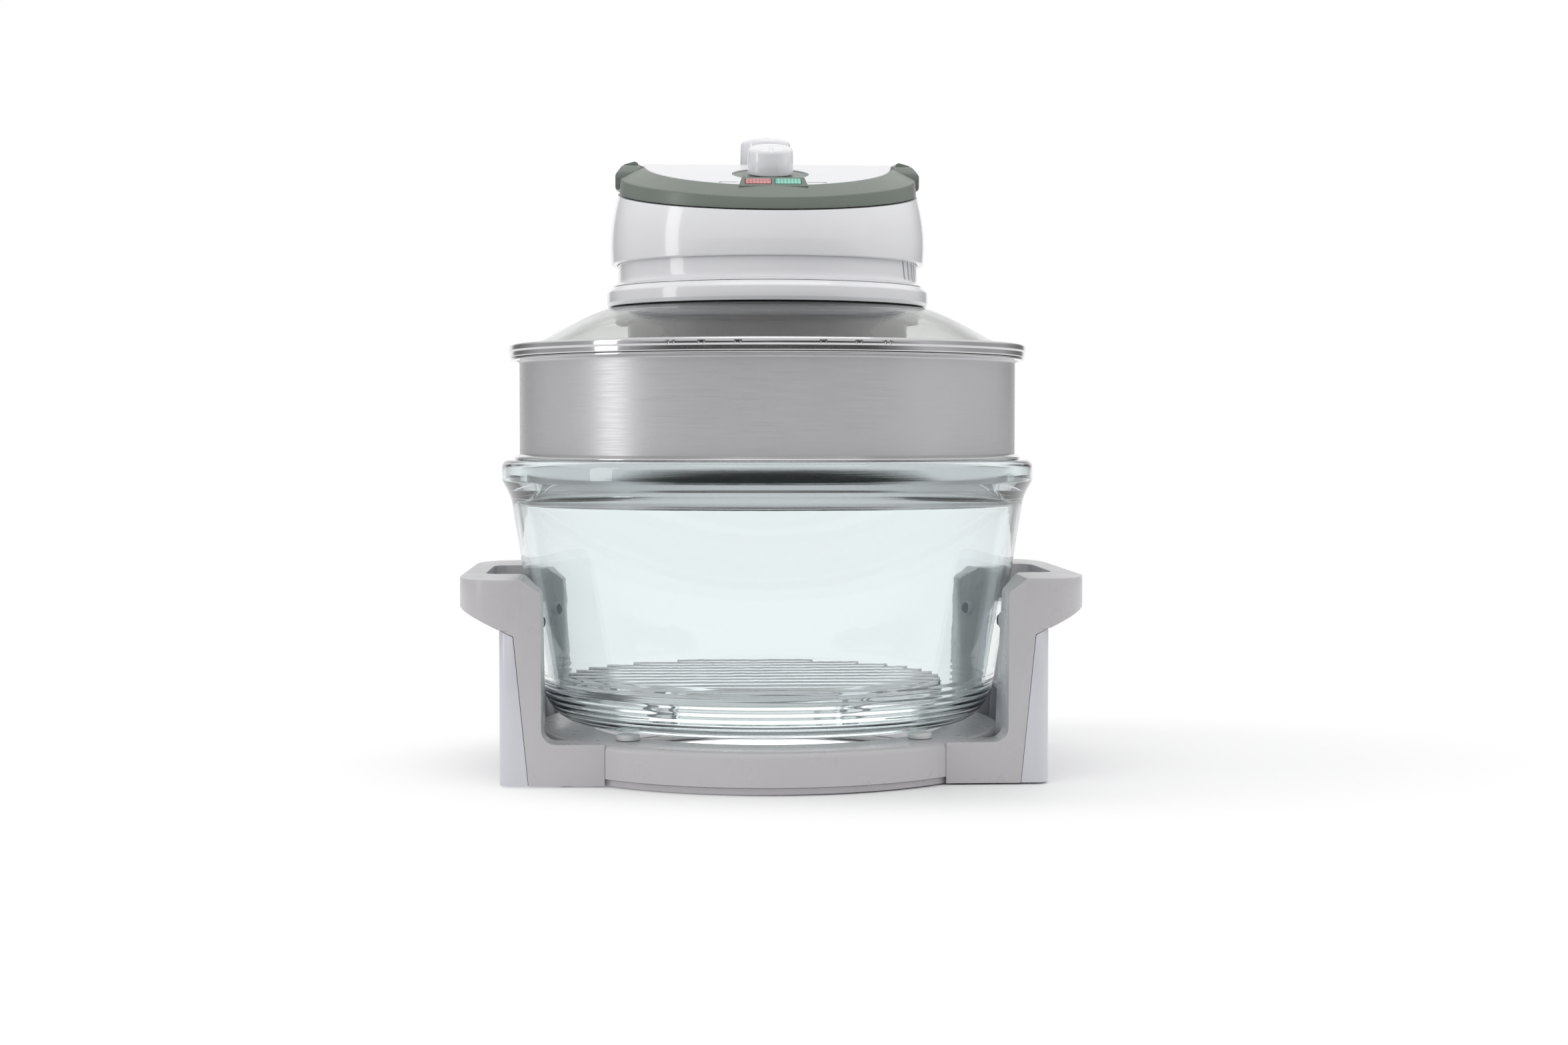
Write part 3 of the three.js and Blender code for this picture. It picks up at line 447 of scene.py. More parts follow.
Finish = MouldedPlastic | TemperedGlass | BrushedSteel | PlatedMetal | SoftMoulding | LensPlastic
FINISHES: dict[Slot, Finish] = {
    # Glossy ABS of the head: polished mould, so the softboxes show as crisp shapes.
    Slot.WHITE: MouldedPlastic("gloss_white_moulded_abs", "F0F0F3", "ECECF0", 0.12, sheen_coat=0.6),
    # Milky polypropylene of the stand: a softer gloss, and light enters a little way.
    Slot.STAND: MouldedPlastic("milky_grey_moulded_polypropylene", "BDBBBE", "B7B5B8", 0.3, 1.49,
                               depth_scatter=0.1),
    # Paler ABS of the covers: the same mould finish with more gloss.
    Slot.COVER: MouldedPlastic("pale_grey_moulded_abs", "CDCDD4", "C8C8D0", 0.22, sheen_coat=0.2),
    # Satin grey-green trim: fine spark-eroded texture spreads the highlights.
    Slot.GREY: MouldedPlastic("satin_grey_green_moulded_abs", "727A72", "6C746C", 0.3, peel_mm=0.8),
    # Heat-proof phenolic of the hidden electrical parts: dull and dark.
    Slot.BLACK: MouldedPlastic("black_moulded_phenolic", "1B1B1D", "222224", 0.45, peel_mm=0.8),
    # Clear pressed glass whose long edges look blue-green.
    Slot.GLASS: TemperedGlass("pressed_tempered_glass"),
    # Drawn quartz tube of the lamp: colourless.
    Slot.QUARTZ: TemperedGlass("drawn_quartz_glass", "FBFBF6", "F3F0E0", 2.0),
    # Turned satin sheet: soft upright bands of light.
    Slot.STEEL: BrushedSteel("turned_satin_stainless_steel", "C9C8CA", "C2C1C3", 0.42),
    # Zinc plating: bluish and cloudy.
    Slot.ZINC: PlatedMetal("zinc_plated_steel", "B4B7BA", "9A9DA0", 0.34),
    # Chrome plating: near-mirror wire.
    Slot.CHROME: PlatedMetal("polished_chrome_plate", "DADADC", "CFCFD1", 0.2),
    # Dark enamel of the heat shield: smooth, with soft highlights.
    Slot.ENAMEL: PlatedMetal("dark_stove_enamel", "2B2C2D", "36373A", 0.3, 0.0),
    # Rubber: dull, with a fine grain.
    Slot.RUBBER: SoftMoulding("dark_grey_moulded_rubber", "5A5A5E", "4C4C50", 0.75),
    # Silicone lets light in, which makes the pads milky.
    Slot.SILICONE: SoftMoulding("milky_moulded_silicone", "EBEBEB", "E2E2E2", 0.45, depth_scatter=0.4),
    # Fired ceramic: dry and chalky.
    Slot.CERAMIC: SoftMoulding("fired_steatite_ceramic", "E8E2D5", "DDD5C5", 0.7, 0.3),
    # Ribbed lenses: bands of deeper and paler colour.
    Slot.RED: LensPlastic("red_moulded_acrylic", "C98A8A", "B76A6E"),
    Slot.GREEN: LensPlastic("green_moulded_acrylic", "8CCFBB", "5CB29B"),
}
# Steel of the guard, coloured dark and brownish as a painted reflection of dark surroundings, with soft
# streaks of light.
PAINTED_DARK_GUARD_STEEL = BrushedSteel("painted_dark_reflection_stainless_steel", "5E5855", "4C4644", 0.22, pull=0.2)
# The lid's glass is greyer and takes more light, so its shoulders stand out from the backdrop.
LID_GLASS = TemperedGlass("pressed_tempered_lid_glass", "F4F6F4", "B4B8B2", 24.0)
# Stainless sheet left bright from the rolls: near-mirror, so it shows dark and light lines.
BRIGHT_STEEL = BrushedSteel("bright_rolled_stainless_steel", "D6D5D6", "CFCED0", 0.08, pull=0.2)
_built: dict[str, bpy.types.Material] = {}


def built(finish: Finish) -> bpy.types.Material:
    """Gives the material of a finish, and builds it the first time."""
    if finish.name not in _built:
        _built[finish.name] = finish.material()
    return _built[finish.name]


# ---------------------------------------------------------------- outlines and meshes

Point = tuple[float, ...]


def rounded(corners: Sequence[Point], closed: bool = True,
            arc_degrees: float = 9) -> list[tuple[float, float]]:
    """Draws an outline whose corners are rounded.

    Args:
        corners: Points (a, b) or (a, b, radius) in millimetres.
        closed: Whether the last point joins the first.
        arc_degrees: The most that one step of an arc turns.

    Returns:
        The outline's points in millimetres.
    """
    outline: list[tuple[float, float]] = []
    count = len(corners)
    for i, corner in enumerate(corners):
        here = Vector(corner[:2])
        radius = corner[2] if len(corner) > 2 else 0.0
        if radius == 0 or (not closed and i in (0, count - 1)):
            outline.append(tuple(here))
            continue
        back = Vector(corners[i - 1][:2]) - here
        ahead = Vector(corners[(i + 1) % count][:2]) - here
        turn = math.pi - back.angle(ahead)
        reach = radius * math.tan(turn / 2)
        reach = min(reach, back.length * 0.49, ahead.length * 0.49)
        radius = reach / math.tan(turn / 2)
        start, end = here + back.normalized() * reach, here + ahead.normalized() * reach
        middle = (back.normalized() + ahead.normalized()).normalized()
        centre = here + middle * math.hypot(radius, reach)
        steps = max(2, math.ceil(math.degrees(turn) / arc_degrees))
        first, last = start - centre, end - centre
        sweep = math.atan2(first.x * last.y - first.y * last.x, first.dot(last))
        for k in range(steps + 1):
            angle = sweep * k / steps
            spoke = Vector((first.x * math.cos(angle) - first.y * math.sin(angle),
                            first.x * math.sin(angle) + first.y * math.cos(angle)))
            outline.append(tuple(centre + spoke))
    return outline


def bezier(p0: Point, p1: Point, p2: Point, p3: Point, steps: int = 14) -> list[tuple[float, float]]:
    """Gives points on a cubic curve, without its first point."""
    points = []
    for i in range(1, steps + 1):
        t = i / steps
        weights = ((1 - t) ** 3, 3 * t * (1 - t) ** 2, 3 * t * t * (1 - t), t ** 3)
        points.append(tuple(sum(w * p[k] for w, p in zip(weights, (p0, p1, p2, p3))) for k in (0, 1)))
    return points


def finish_mesh(bm: bmesh.types.BMesh, name: str, sharp_degrees: float = 32) -> bpy.types.Object:
    """Turns a bmesh into a smooth-shaded object whose sharp edges stay sharp.

    Args:
        bm: The mesh, which is freed.
        name: The object's name.
        sharp_degrees: Edges that turn more than this stay sharp.

    Returns:
        The new object, linked to the scene.
    """
    bmesh.ops.remove_doubles(bm, verts=bm.verts, dist=1e-6)
    bmesh.ops.recalc_face_normals(bm, faces=bm.faces)
    mesh = bpy.data.meshes.new(name)
    bm.to_mesh(mesh)
    bm.free()
    mesh.shade_smooth()
    mesh.set_sharp_from_angle(angle=math.radians(sharp_degrees))
    made = bpy.data.objects.new(name, mesh)
    bpy.context.scene.collection.objects.link(made)
    return made


def lathe(name: str, outline: Sequence[Point], facets: int = 144, centre: Point = (0, 0)) -> bpy.types.Object:
    """Turns an outline of (radius, height) in millimetres about a vertical axis.

    Args:
        name: The object's name.
        outline: A closed outline; points on the axis become poles.
        facets: Steps round the axis.
        centre: Where the axis stands, in millimetres.

    Returns:
        The turned object.
    """
    bm = bmesh.new()
    rings = []
    for radius, height in outline:
        if radius < 1e-6:
            rings.append([bm.verts.new((centre[0] * MM, centre[1] * MM, height * MM))])
            continue
        rings.append([bm.verts.new((
            (centre[0] + radius * math.cos(2 * math.pi * k / facets)) * MM,
            (centre[1] + radius * math.sin(2 * math.pi * k / facets)) * MM,
            height * MM)) for k in range(facets)])
    for i, ring in enumerate(rings):
        other = rings[(i + 1) % len(rings)]
        if len(ring) == 1 and len(other) == 1:
            continue
        for k in range(facets):
            after = (k + 1) % facets
            corners = [ring[k % len(ring)], ring[after % len(ring)], other[after % len(other)],
                       other[k % len(other)]]
            bm.faces.new(list(dict.fromkeys(corners)))
    return finish_mesh(bm, name)


def prism(name: str, outline: Sequence[Point], axis: Axis, low: float, high: float) -> bpy.types.Object:
    """Extrudes an outline along an axis.

    Args:
        name: The object's name.
        outline: Closed outline in millimetres, in the axis's two drawing directions.
        axis: Direction of the extrusion.
        low: Where it starts, in millimetres.
        high: Where it ends, in millimetres.

    Returns:
        The prism.
    """
    first, second, along = (Vector(v) for v in axis.value)
    bm = bmesh.new()
    ends = [[bm.verts.new((first * a + second * b + along * level) * MM) for a, b in outline]
            for level in (low, high)]
    for ring in ends:
        bm.faces.new(ring)
    for k in range(len(outline)):
        after = (k + 1) % len(outline)
        bm.faces.new([ends[0][k], ends[0][after], ends[1][after], ends[1][k]])
    return finish_mesh(bm, name)


def box_prism(name: str, low: Point, high: Point, radius: float = 0) -> bpy.types.Object:
    """Makes a block between two corners in millimetres, with its upright edges rounded."""
    outline = rounded([(low[0], low[1], radius), (high[0], low[1], radius),
                       (high[0], high[1], radius), (low[0], high[1], radius)])
    return prism(name, outline, Axis.Z, low[2], high[2])


def wire(bm: bmesh.types.BMesh, path: Sequence[Vector], radius: float, sides: int = 12,
         closed: bool = False) -> None:
    """Sweeps a round section along a path, into a mesh.

    Args:
        bm: The mesh that takes the wire.
        path: Points in millimetres.
        radius: Radius of the wire in millimetres.
        sides: Sides of the section.
        closed: Whether the path joins up.
    """
    count = len(path)
    rings = []
    normal = None
    for i, point in enumerate(path):
        before = path[i - 1] if (closed or i > 0) else point
        after = path[(i + 1) % count] if (closed or i < count - 1) else point
        tangent = (after - before).normalized()
        if normal is None:
            normal = tangent.orthogonal().normalized()
        normal = (normal - tangent * normal.dot(tangent)).normalized()
        side = tangent.cross(normal)
        rings.append([bm.verts.new((point + (normal * math.cos(a) + side * math.sin(a)) * radius) * MM)
                      for a in (2 * math.pi * k / sides for k in range(sides))])
    pairs = list(zip(rings, rings[1:]))
    if closed:
        first, last = rings[0], rings[-1]
        shift = min(range(sides), key=lambda s: (first[s].co - last[0].co).length)
        pairs.append((last, first[shift:] + first[:shift]))
    else:
        bm.faces.new(rings[0])
        bm.faces.new(rings[-1])
    for ring, other in pairs:
        for k in range(sides):
            after = (k + 1) % sides
            bm.faces.new([ring[k], ring[after], other[after], other[k]])


def smooth_path(points: Sequence[Point], steps: int = 6) -> list[Vector]:
    """Gives a smooth path through the points, in millimetres."""
    knots = [Vector(p) for p in points]
    path = []
    for i in range(len(knots) - 1):
        p0, p1, p2, p3 = knots[max(i - 1, 0)], knots[i], knots[i + 1], knots[min(i + 2, len(knots) - 1)]
        for k in range(steps):
            t = k / steps
            path.append(0.5 * (2 * p1 + (p2 - p0) * t + (2 * p0 - 5 * p1 + 4 * p2 - p3) * t * t
                               + (3 * p1 - p0 - 3 * p2 + p3) * t ** 3))
    path.append(knots[-1])
    return path


def combine(target: bpy.types.Object, tools: Iterable[bpy.types.Object], operation: str = "DIFFERENCE",
            solver: str = "MANIFOLD") -> bpy.types.Object:
    """Cuts, joins or intersects a piece with other pieces, which are used up.

    Args:
        target: The piece that is changed.
        tools: The pieces that change it.
        operation: DIFFERENCE, UNION or INTERSECT.
        solver: Blender's boolean solver.

    Returns:
        The changed piece.
    """
    for tool in list(tools):
        modifier = target.modifiers.new("combine", "BOOLEAN")
        modifier.operation = operation
        modifier.solver = solver
        modifier.object = tool
        apply_modifiers(target)
        bpy.data.objects.remove(tool)
    return target


def apply_modifiers(target: bpy.types.Object, sharp_degrees: float = 32) -> bpy.types.Object:
    """Applies every modifier of a piece and sets its shading again."""
    graph = bpy.context.evaluated_depsgraph_get()
    mesh = bpy.data.meshes.new_from_object(target.evaluated_get(graph))
    target.modifiers.clear()
    target.data = mesh
    mesh.shade_smooth()
    mesh.set_sharp_from_angle(angle=math.radians(sharp_degrees))
    return target


def merged_planes(target: bpy.types.Object) -> bpy.types.Object:
    """Joins the flat facets that a boolean leaves, so that edges can be rounded cleanly."""
    bm = bmesh.new()
    bm.from_mesh(target.data)
    bmesh.ops.remove_doubles(bm, verts=bm.verts, dist=2e-6)
    bmesh.ops.dissolve_limit(bm, angle_limit=math.radians(1.0), verts=bm.verts, edges=bm.edges)
    bm.to_mesh(target.data)
    bm.free()
    return target


def soften(target: bpy.types.Object, width: float, steps: int = 3, angle: float = 32) -> bpy.types.Object:
    """Rounds the edges of a piece, as a mould does.

    Args:
        target: The piece.
        width: Width of the rounding in millimetres.
        steps: Steps across it.
        angle: Edges that turn more than this are rounded, in degrees.

    Returns:
        The rounded piece.
    """
    bevel = target.modifiers.new("edge_radius", "BEVEL")
    bevel.width = width * MM
    bevel.segments = steps
    bevel.limit_method = "ANGLE"
    bevel.angle_limit = math.radians(angle)
    bevel.miter_outer = "MITER_ARC"
    bevel.harden_normals = False
    return apply_modifiers(target)


def tipped(offset: Sequence[float], axis: str) -> Matrix:
    """Gives the matrix that tips a lathed piece over about an axis and moves it by millimetres."""
    return Matrix.Translation(Vector(offset) * MM) @ Matrix.Rotation(math.pi / 2, 4, axis)


def placed(piece: bpy.types.Object, matrix: Matrix) -> bpy.types.Object:
    """Moves a piece's mesh by a matrix in metres, and keeps its origin."""
    piece.data.transform(matrix)
    return piece


def sized(node: str) -> tuple[Vector, Vector]:
    """Gives the lowest and highest corner of a CAD node in millimetres."""
    low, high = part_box(node)
    return low / MM, high / MM


def install(piece: bpy.types.Object, node: str, slot: Slot, stands_for: bool = True,
            finish: Finish | None = None) -> bpy.types.Object:
    """Gives a piece its finish, sets it on the body of a CAD node, and reports it.

    Args:
        piece: The finished piece.
        node: The CAD node that it belongs with.
        slot: The record's material slot, which gives its finish.
        stands_for: Whether it replaces that node, or is a detail beside it.
        finish: A finish that differs from the slot's usual one.

    Returns:
        The installed piece.
    """
    piece.data.materials.clear()
    piece.data.materials.append(built(finish or FINISHES[slot]))
    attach(piece, frame["nodes"][node]["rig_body"])
    if stands_for:
        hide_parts(node)
    log.info("%s: %d faces, %s", piece.name, len(piece.data.polygons), slot.value)
    return piece


def dress(names: Iterable[str], slot: Slot, edge: float = 0.0) -> None:
    """Gives carried-over CAD nodes their finish, smooth shading and, where it shows, rounded edges.

    Args:
        names: The nodes.
        slot: The record's material slot, which gives their finish.
        edge: Width of the rounded edges in millimetres.
    """
    for name in names:
        node = frame["nodes"][name]
        node.data.materials.clear()
        node.data.materials.append(built(FINISHES[slot]))
        node.data.shade_smooth()
        node.data.set_sharp_from_angle(angle=math.radians(32))
        if edge:
            bevel = node.modifiers.new("edge_radius", "BEVEL")
            bevel.width, bevel.segments, bevel.limit_method = edge * MM, 2, "ANGLE"
        log.info("%s: carried over, %s", name, slot.value)


def mirror_x(piece: bpy.types.Object, name: str) -> bpy.types.Object:
    """Makes the left-hand twin of a right-hand piece."""
    bm = bmesh.new()
    bm.from_mesh(piece.data)
    bmesh.ops.transform(bm, matrix=Matrix.Scale(-1, 4, (1, 0, 0)), verts=bm.verts)
    return finish_mesh(bm, name)


# ---------------------------------------------------------------- studio

# Greys of the room from behind the camera (0) to the backdrop (1): the dark ones draw the edges of steel
# and glass.
ROOM_GREYS = ((0.0, 0.8), (0.3, 0.66), (0.55, 0.45), (0.775, 0.45), (0.9, 0.2), (0.945, 0.24), (0.972, 1.0))
# Rays that point up more steeply than this meet the white ceiling.
CEILING_FADE = {"From Min": 0.15, "From Max": 0.5}
# Level rays towards the camera's side meet a dark horizon line, which bright steel shows as a thin band.
HORIZON_FADE = {"From Min": 0.025, "From Max": 0.06}
FRONT_FADE = {"From Min": -0.75, "From Max": -0.35}
# Metres from the oven's middle over which the floor's shadow turns into the white backdrop.
FLOOR_FADE = {"From Min": 0.14, "From Max": 0.25}
# The floor seen through the stand's ring glows, which brightens the bowl's underside.
UNDER_BOWL = {"From Min": 0.100, "From Max": 0.108, "To Min": 0.9, "To Max": 0.0}
# The floor by the camera is nearly dark in reflections.
NEAR_FLOOR = {"From Min": -1.6, "From Max": -0.6, "To Min": 0.03, "To Max": 1.0}


@dataclass
class Studio:
    """Floor, light and camera, in metres.

    Attributes:
        azimuth: Where the camera stands round the oven, in degrees from the front.
        distance: From the oven's axis to the camera.
        camera_height: Height of the lens.
        aim_height: Height that the camera looks at.
        aim_side: How far to the right of the axis it looks.
        lens: Focal length on a 36 mm wide sensor.
        floor_radius: How far the floor reaches.
    """

    azimuth: float = -2.7
    distance: float = 1.462
    camera_height: float = 0.207
    aim_height: float = 0.150
    aim_side: float = 0.0104
    lens: float = 53.6
    floor_radius: float = 6.0

    def build(self) -> None:
        """Makes the whole studio."""
        bpy.context.scene.view_settings.view_transform = "Standard"
        self.camera()
        self.world()
        self.floor()
        self.softbox("key_softbox", (-1.7, -0.5, 0.52), (0.36, 0.9), 2.6)
        self.softbox("top_softbox", (0.1, -0.35, 2.0), (1.6, 1.2), 6.5)
        self.softbox("right_softbox", (1.9, 0.15, 0.75), (0.5, 1.0), 4, mirrored=False)

    def camera(self) -> None:
        """Sets the camera at eye height with the oven, a little to its left."""
        angle = math.radians(self.azimuth)
        place = Vector((math.sin(angle) * self.distance, -math.cos(angle) * self.distance,
                        self.camera_height))
        aim = Vector((math.cos(angle) * self.aim_side, math.sin(angle) * self.aim_side, self.aim_height))
        data = bpy.data.cameras.new("camera")
        data.lens = self.lens
        data.sensor_width = 36
        camera = bpy.data.objects.new("camera", data)
        camera.location = place
        camera.rotation_euler = (aim - place).to_track_quat("-Z", "Y").to_euler()
        bpy.context.scene.collection.objects.link(camera)
        bpy.context.scene.camera = camera

    def world(self) -> None:
        """Makes a white backdrop with a greyer room round the camera, which the steel and glass reflect."""
        world = bpy.data.worlds.new("studio")
        bpy.context.scene.world = world
        world.use_nodes = True
        tree = world.node_tree
        tree.nodes.clear()
        direction = add_node(tree, "ShaderNodeTexCoord").outputs["Generated"]
        axes = add_node(tree, "ShaderNodeSeparateXYZ", {"Vector": direction})
        depth = add_node(tree, "ShaderNodeMapRange", {
            "Value": axes.outputs["Y"], "From Min": -1.0, "From Max": 1.0})
        room = add_node(tree, "ShaderNodeValToRGB", {"Fac": depth.outputs["Result"]})
        elements = room.color_ramp.elements
        while len(elements) < len(ROOM_GREYS):
            elements.new(0.5)
        for element, (position, grey) in zip(elements, ROOM_GREYS):
            element.position = position
            element.color = (grey, grey, grey * 1.01, 1)
        height = add_node(tree, "ShaderNodeMapRange", {
            "Value": axes.outputs["Z"], **CEILING_FADE})
        ceiling = add_node(tree, "ShaderNodeMix", {
            0: height.outputs["Result"], 6: room.outputs["Color"], 7: (0.95, 0.95, 0.95, 1)},
                           data_type="RGBA")
        level = add_node(tree, "ShaderNodeMath", {0: axes.outputs["Z"]}, operation="ABSOLUTE")
        horizon = add_node(tree, "ShaderNodeMapRange", {
            "Value": level.outputs["Value"], **HORIZON_FADE})
        front = add_node(tree, "ShaderNodeMapRange", {
            "Value": axes.outputs["Y"], **FRONT_FADE})
        clear = add_node(tree, "ShaderNodeMath", {
            0: horizon.outputs["Result"], 1: front.outputs["Result"]}, operation="MAXIMUM")
        banded = add_node(tree, "ShaderNodeMix", {
            0: clear.outputs["Value"], 6: (0.02, 0.02, 0.02, 1), 7: ceiling.outputs[2]}, data_type="RGBA")
        seen = add_node(tree, "ShaderNodeLightPath").outputs["Is Camera Ray"]
        colour = add_node(tree, "ShaderNodeMix", {
            0: seen, 6: banded.outputs[2], 7: (1, 1, 1, 1)}, data_type="RGBA")
        light = add_node(tree, "ShaderNodeBackground", {"Color": colour.outputs[2], "Strength": 1.0})
        output = tree.nodes.new("ShaderNodeOutputWorld")
        tree.links.new(light.outputs["Background"], output.inputs["Surface"])

    def floor(self) -> None:
        """Lays a plain pale floor that turns into the white backdrop away from the oven; the patch under the
        bowl glows as painted light.
        """
        floor = lathe("floor", [(0, -2), (self.floor_radius / MM, -2), (self.floor_radius / MM, -0.05),
                                (0, -0.05)], 96)
        material, tree, output = new_material("matte_white_paper")
        place = add_node(tree, "ShaderNodeTexCoord").outputs["Object"]
        shade = add_node(tree, "ShaderNodeMapping", {
            "Vector": place, "Location": (-0.075, 0, 0), "Scale": (0.6, 1, 1)}).outputs["Vector"]
        reach = add_node(tree, "ShaderNodeVectorMath", {0: shade}, operation="LENGTH").outputs["Value"]
        outside = add_node(tree, "ShaderNodeMapRange", {
            "Value": reach, **FLOOR_FADE}, interpolation_type="SMOOTHSTEP")
        middle = add_node(tree, "ShaderNodeVectorMath", {0: place}, operation="LENGTH").outputs["Value"]
        under = add_node(tree, "ShaderNodeMapRange", {
            "Value": middle, **UNDER_BOWL})
        fade = add_node(tree, "ShaderNodeMath", {
            0: outside.outputs["Result"], 1: under.outputs["Result"]}, operation="MAXIMUM")
        paper = add_node(tree, "ShaderNodeBsdfPrincipled", {"Base Color": linear("F6F6F6"), "Roughness": 0.6})
        depth = add_node(tree, "ShaderNodeSeparateXYZ", {"Vector": place}).outputs["Y"]
        near = add_node(tree, "ShaderNodeMapRange", {
            "Value": depth, **NEAR_FLOOR})
        lit = add_node(tree, "ShaderNodeMath", {
            0: near.outputs["Result"], 1: under.outputs["Result"]}, operation="ADD")
        seen = add_node(tree, "ShaderNodeLightPath").outputs["Is Camera Ray"]
        strength = add_node(tree, "ShaderNodeMath", {0: lit.outputs["Value"], 1: seen}, operation="MAXIMUM")
        glow = add_node(tree, "ShaderNodeEmission", {
            "Color": (1, 1, 1, 1), "Strength": strength.outputs["Value"]})
        mixed = add_node(tree, "ShaderNodeMixShader", {
            0: fade.outputs["Value"], 1: paper.outputs["BSDF"], 2: glow.outputs["Emission"]})
        tree.links.new(mixed.outputs["Shader"], output.inputs["Surface"])
        floor.data.materials.append(material)

    def softbox(self, name: str, place: Point, size: Point, power: float, mirrored: bool = True) -> None:
        """Hangs a rectangular softbox that points at the middle of the oven.

        Args:
            name: The light's name.
            place: Where it hangs, in metres.
            size: Width and height in metres.
            power: Power in watts.
            mirrored: Whether glossy surfaces show it.
        """
        data = bpy.data.lights.new(name, "AREA")
        data.shape = "RECTANGLE"
        data.size, data.size_y = size
        data.energy = power
        light = bpy.data.objects.new(name, data)
        light.location = place
        light.visible_glossy = mirrored
        light.visible_transmission = False
        light.rotation_euler = (Vector((0, 0, 0.2)) - Vector(place)).to_track_quat("-Z", "Y").to_euler()
        bpy.context.scene.collection.objects.link(light)


# ---------------------------------------------------------------- stand


@dataclass
class Stand:
    """Base ring, the two side frames with their covers and carrying loops, and the small rubber parts.

    All sizes are in millimetres.
    """

    wall: float = 3.0
    foot_height: float = 1.0
    post_thickness: float = 24.5
    post_gap: float = 45.0
    post_chamfer: float = 11.0
    corner_radius: float = 8.0
    beam_depth: float = 22.0
    beam_fillet: float = 9.0
    sill_height: float = 45.0
    cover_wall: float = 2.8
    seam: float = 0.3
    bowl_gap: float = 6.5
    loop_band: float = 13.0
    loop_height: float = 17.0
    loop_corner: float = 9.0
    edge: float = 3.4
    seam_edge: float = 0.5

    def __post_init__(self) -> None:
        """Takes the main sizes from the frame."""
        base_low, base_high = sized("stand_base")
        cover_low, cover_high = sized("right_side_cover")
        _, frame_high = sized("right_side_frame")
        self.base_radius, self.base_z, self.base_top = base_high.x, base_low.z, base_high.z
        self.outer_x, self.half_depth = cover_high.x, frame_high.y
        self.inner_x = self.outer_x - self.post_thickness
        self.seam_foot_x, self.cover_top = cover_low.x, cover_high.z - 2
        self.seam_top_x = self.outer_x - 8.4
        self.loop_x, self.top_z = frame_high.x, frame_high.z

    def build(self) -> None:
        """Builds every piece of the stand."""
        install(self.base(), "stand_base", Slot.STAND)
        install(self.bottom_ring(), "base_bottom_ring", Slot.STAND)
        right_frame, right_cover = self.side_frame(), self.side_cover()
        left_frame = mirror_x(right_frame, "left_frame_moulding")
        left_cover = mirror_x(right_cover, "left_cover_moulding")
        install(right_frame, "right_side_frame", Slot.STAND)
        install(left_frame, "left_side_frame", Slot.STAND)
        install(right_cover, "right_side_cover", Slot.COVER)
        install(left_cover, "left_side_cover", Slot.COVER)
        for number in range(1, 5):
            self.foot(number)
            self.pad(number)
            self.bumper(number)
        dress([f"stand_screw_{number}" for number in range(1, 5)], Slot.ZINC)

    def base(self) -> bpy.types.Object:
        """Turns the base ring, an upturned channel with a soft outer edge."""
        inner, _ = self.ring_radii()
        outer, top, wall = self.base_radius, self.base_top, self.wall
        return lathe("base_ring", rounded([
            (inner, self.base_z), (inner + wall, self.base_z), (inner + wall, top - wall, 2),
            (outer - wall, top - wall, 2), (outer - wall, self.base_z), (outer, self.base_z),
            (outer, top, 4), (inner, top, 1.5)]))

    def ring_radii(self) -> tuple[float, float]:
        """Gives the inner and outer radius of the base ring."""
        bottom_outer = sized("base_bottom_ring")[1].x
        return self.base_radius - 36, bottom_outer

    def bottom_ring(self) -> bpy.types.Object:
        """Turns the ring that closes the base from below, with two stiffening grooves."""
        low, high = sized("base_bottom_ring")
        inner, outer = self.base_radius - 35, high.x
        outline = [(inner, low.z, 0.8)]
        for share in (0.3, 0.6):
            middle = inner + share * (outer - inner)
            outline += [(middle - 2.5, low.z, 0.4), (middle - 1.5, low.z + 1.2, 0.4),
                        (middle + 1.5, low.z + 1.2, 0.4), (middle + 2.5, low.z, 0.4)]
        outline += [(outer, low.z, 0.8), (outer, high.z, 0.8), (inner, high.z, 0.8)]
        return lathe("base_bottom_cover", rounded(outline))

    def bowl_space(self) -> bpy.types.Object:
        """Makes the space that the bowl and the base ring take out of the side mouldings."""
        bowl_top = sized("glass_bowl")[1].z
        wall_radius = sized("glass_bowl")[1].x - 5.5
        heel_z, wall_top = self.base_top + 37, bowl_top - 22.5
        return lathe("bowl_space", [
            (0, -1), (self.base_radius + self.seam, -1),
            (self.base_radius + self.seam, self.base_top + self.seam),
            (self.base_radius - 3 + self.bowl_gap, heel_z), (wall_radius + self.bowl_gap, wall_top),
            (0, wall_top)], 192)

    def footprint(self) -> bpy.types.Object:
        """Makes the stand's plan, with its rounded corners."""
        corner = self.corner_radius
        outline = rounded([(0, -self.half_depth), (self.outer_x, -self.half_depth, corner),
                           (self.outer_x, self.half_depth, corner), (0, self.half_depth)])
        return prism("footprint", outline, Axis.Z, self.foot_height, self.top_z)

    def cover_outline(self, grow: float) -> list[tuple[float, float]]:
        """Gives the cover's section, grown on all sides."""
        return [(self.seam_foot_x - grow, self.foot_height - 2 * grow),
                (self.outer_x + grow, self.foot_height - 2 * grow),
                (self.outer_x + grow, self.cover_top + 2 + grow),
                (self.seam_top_x - grow, self.cover_top - 2 + grow)]

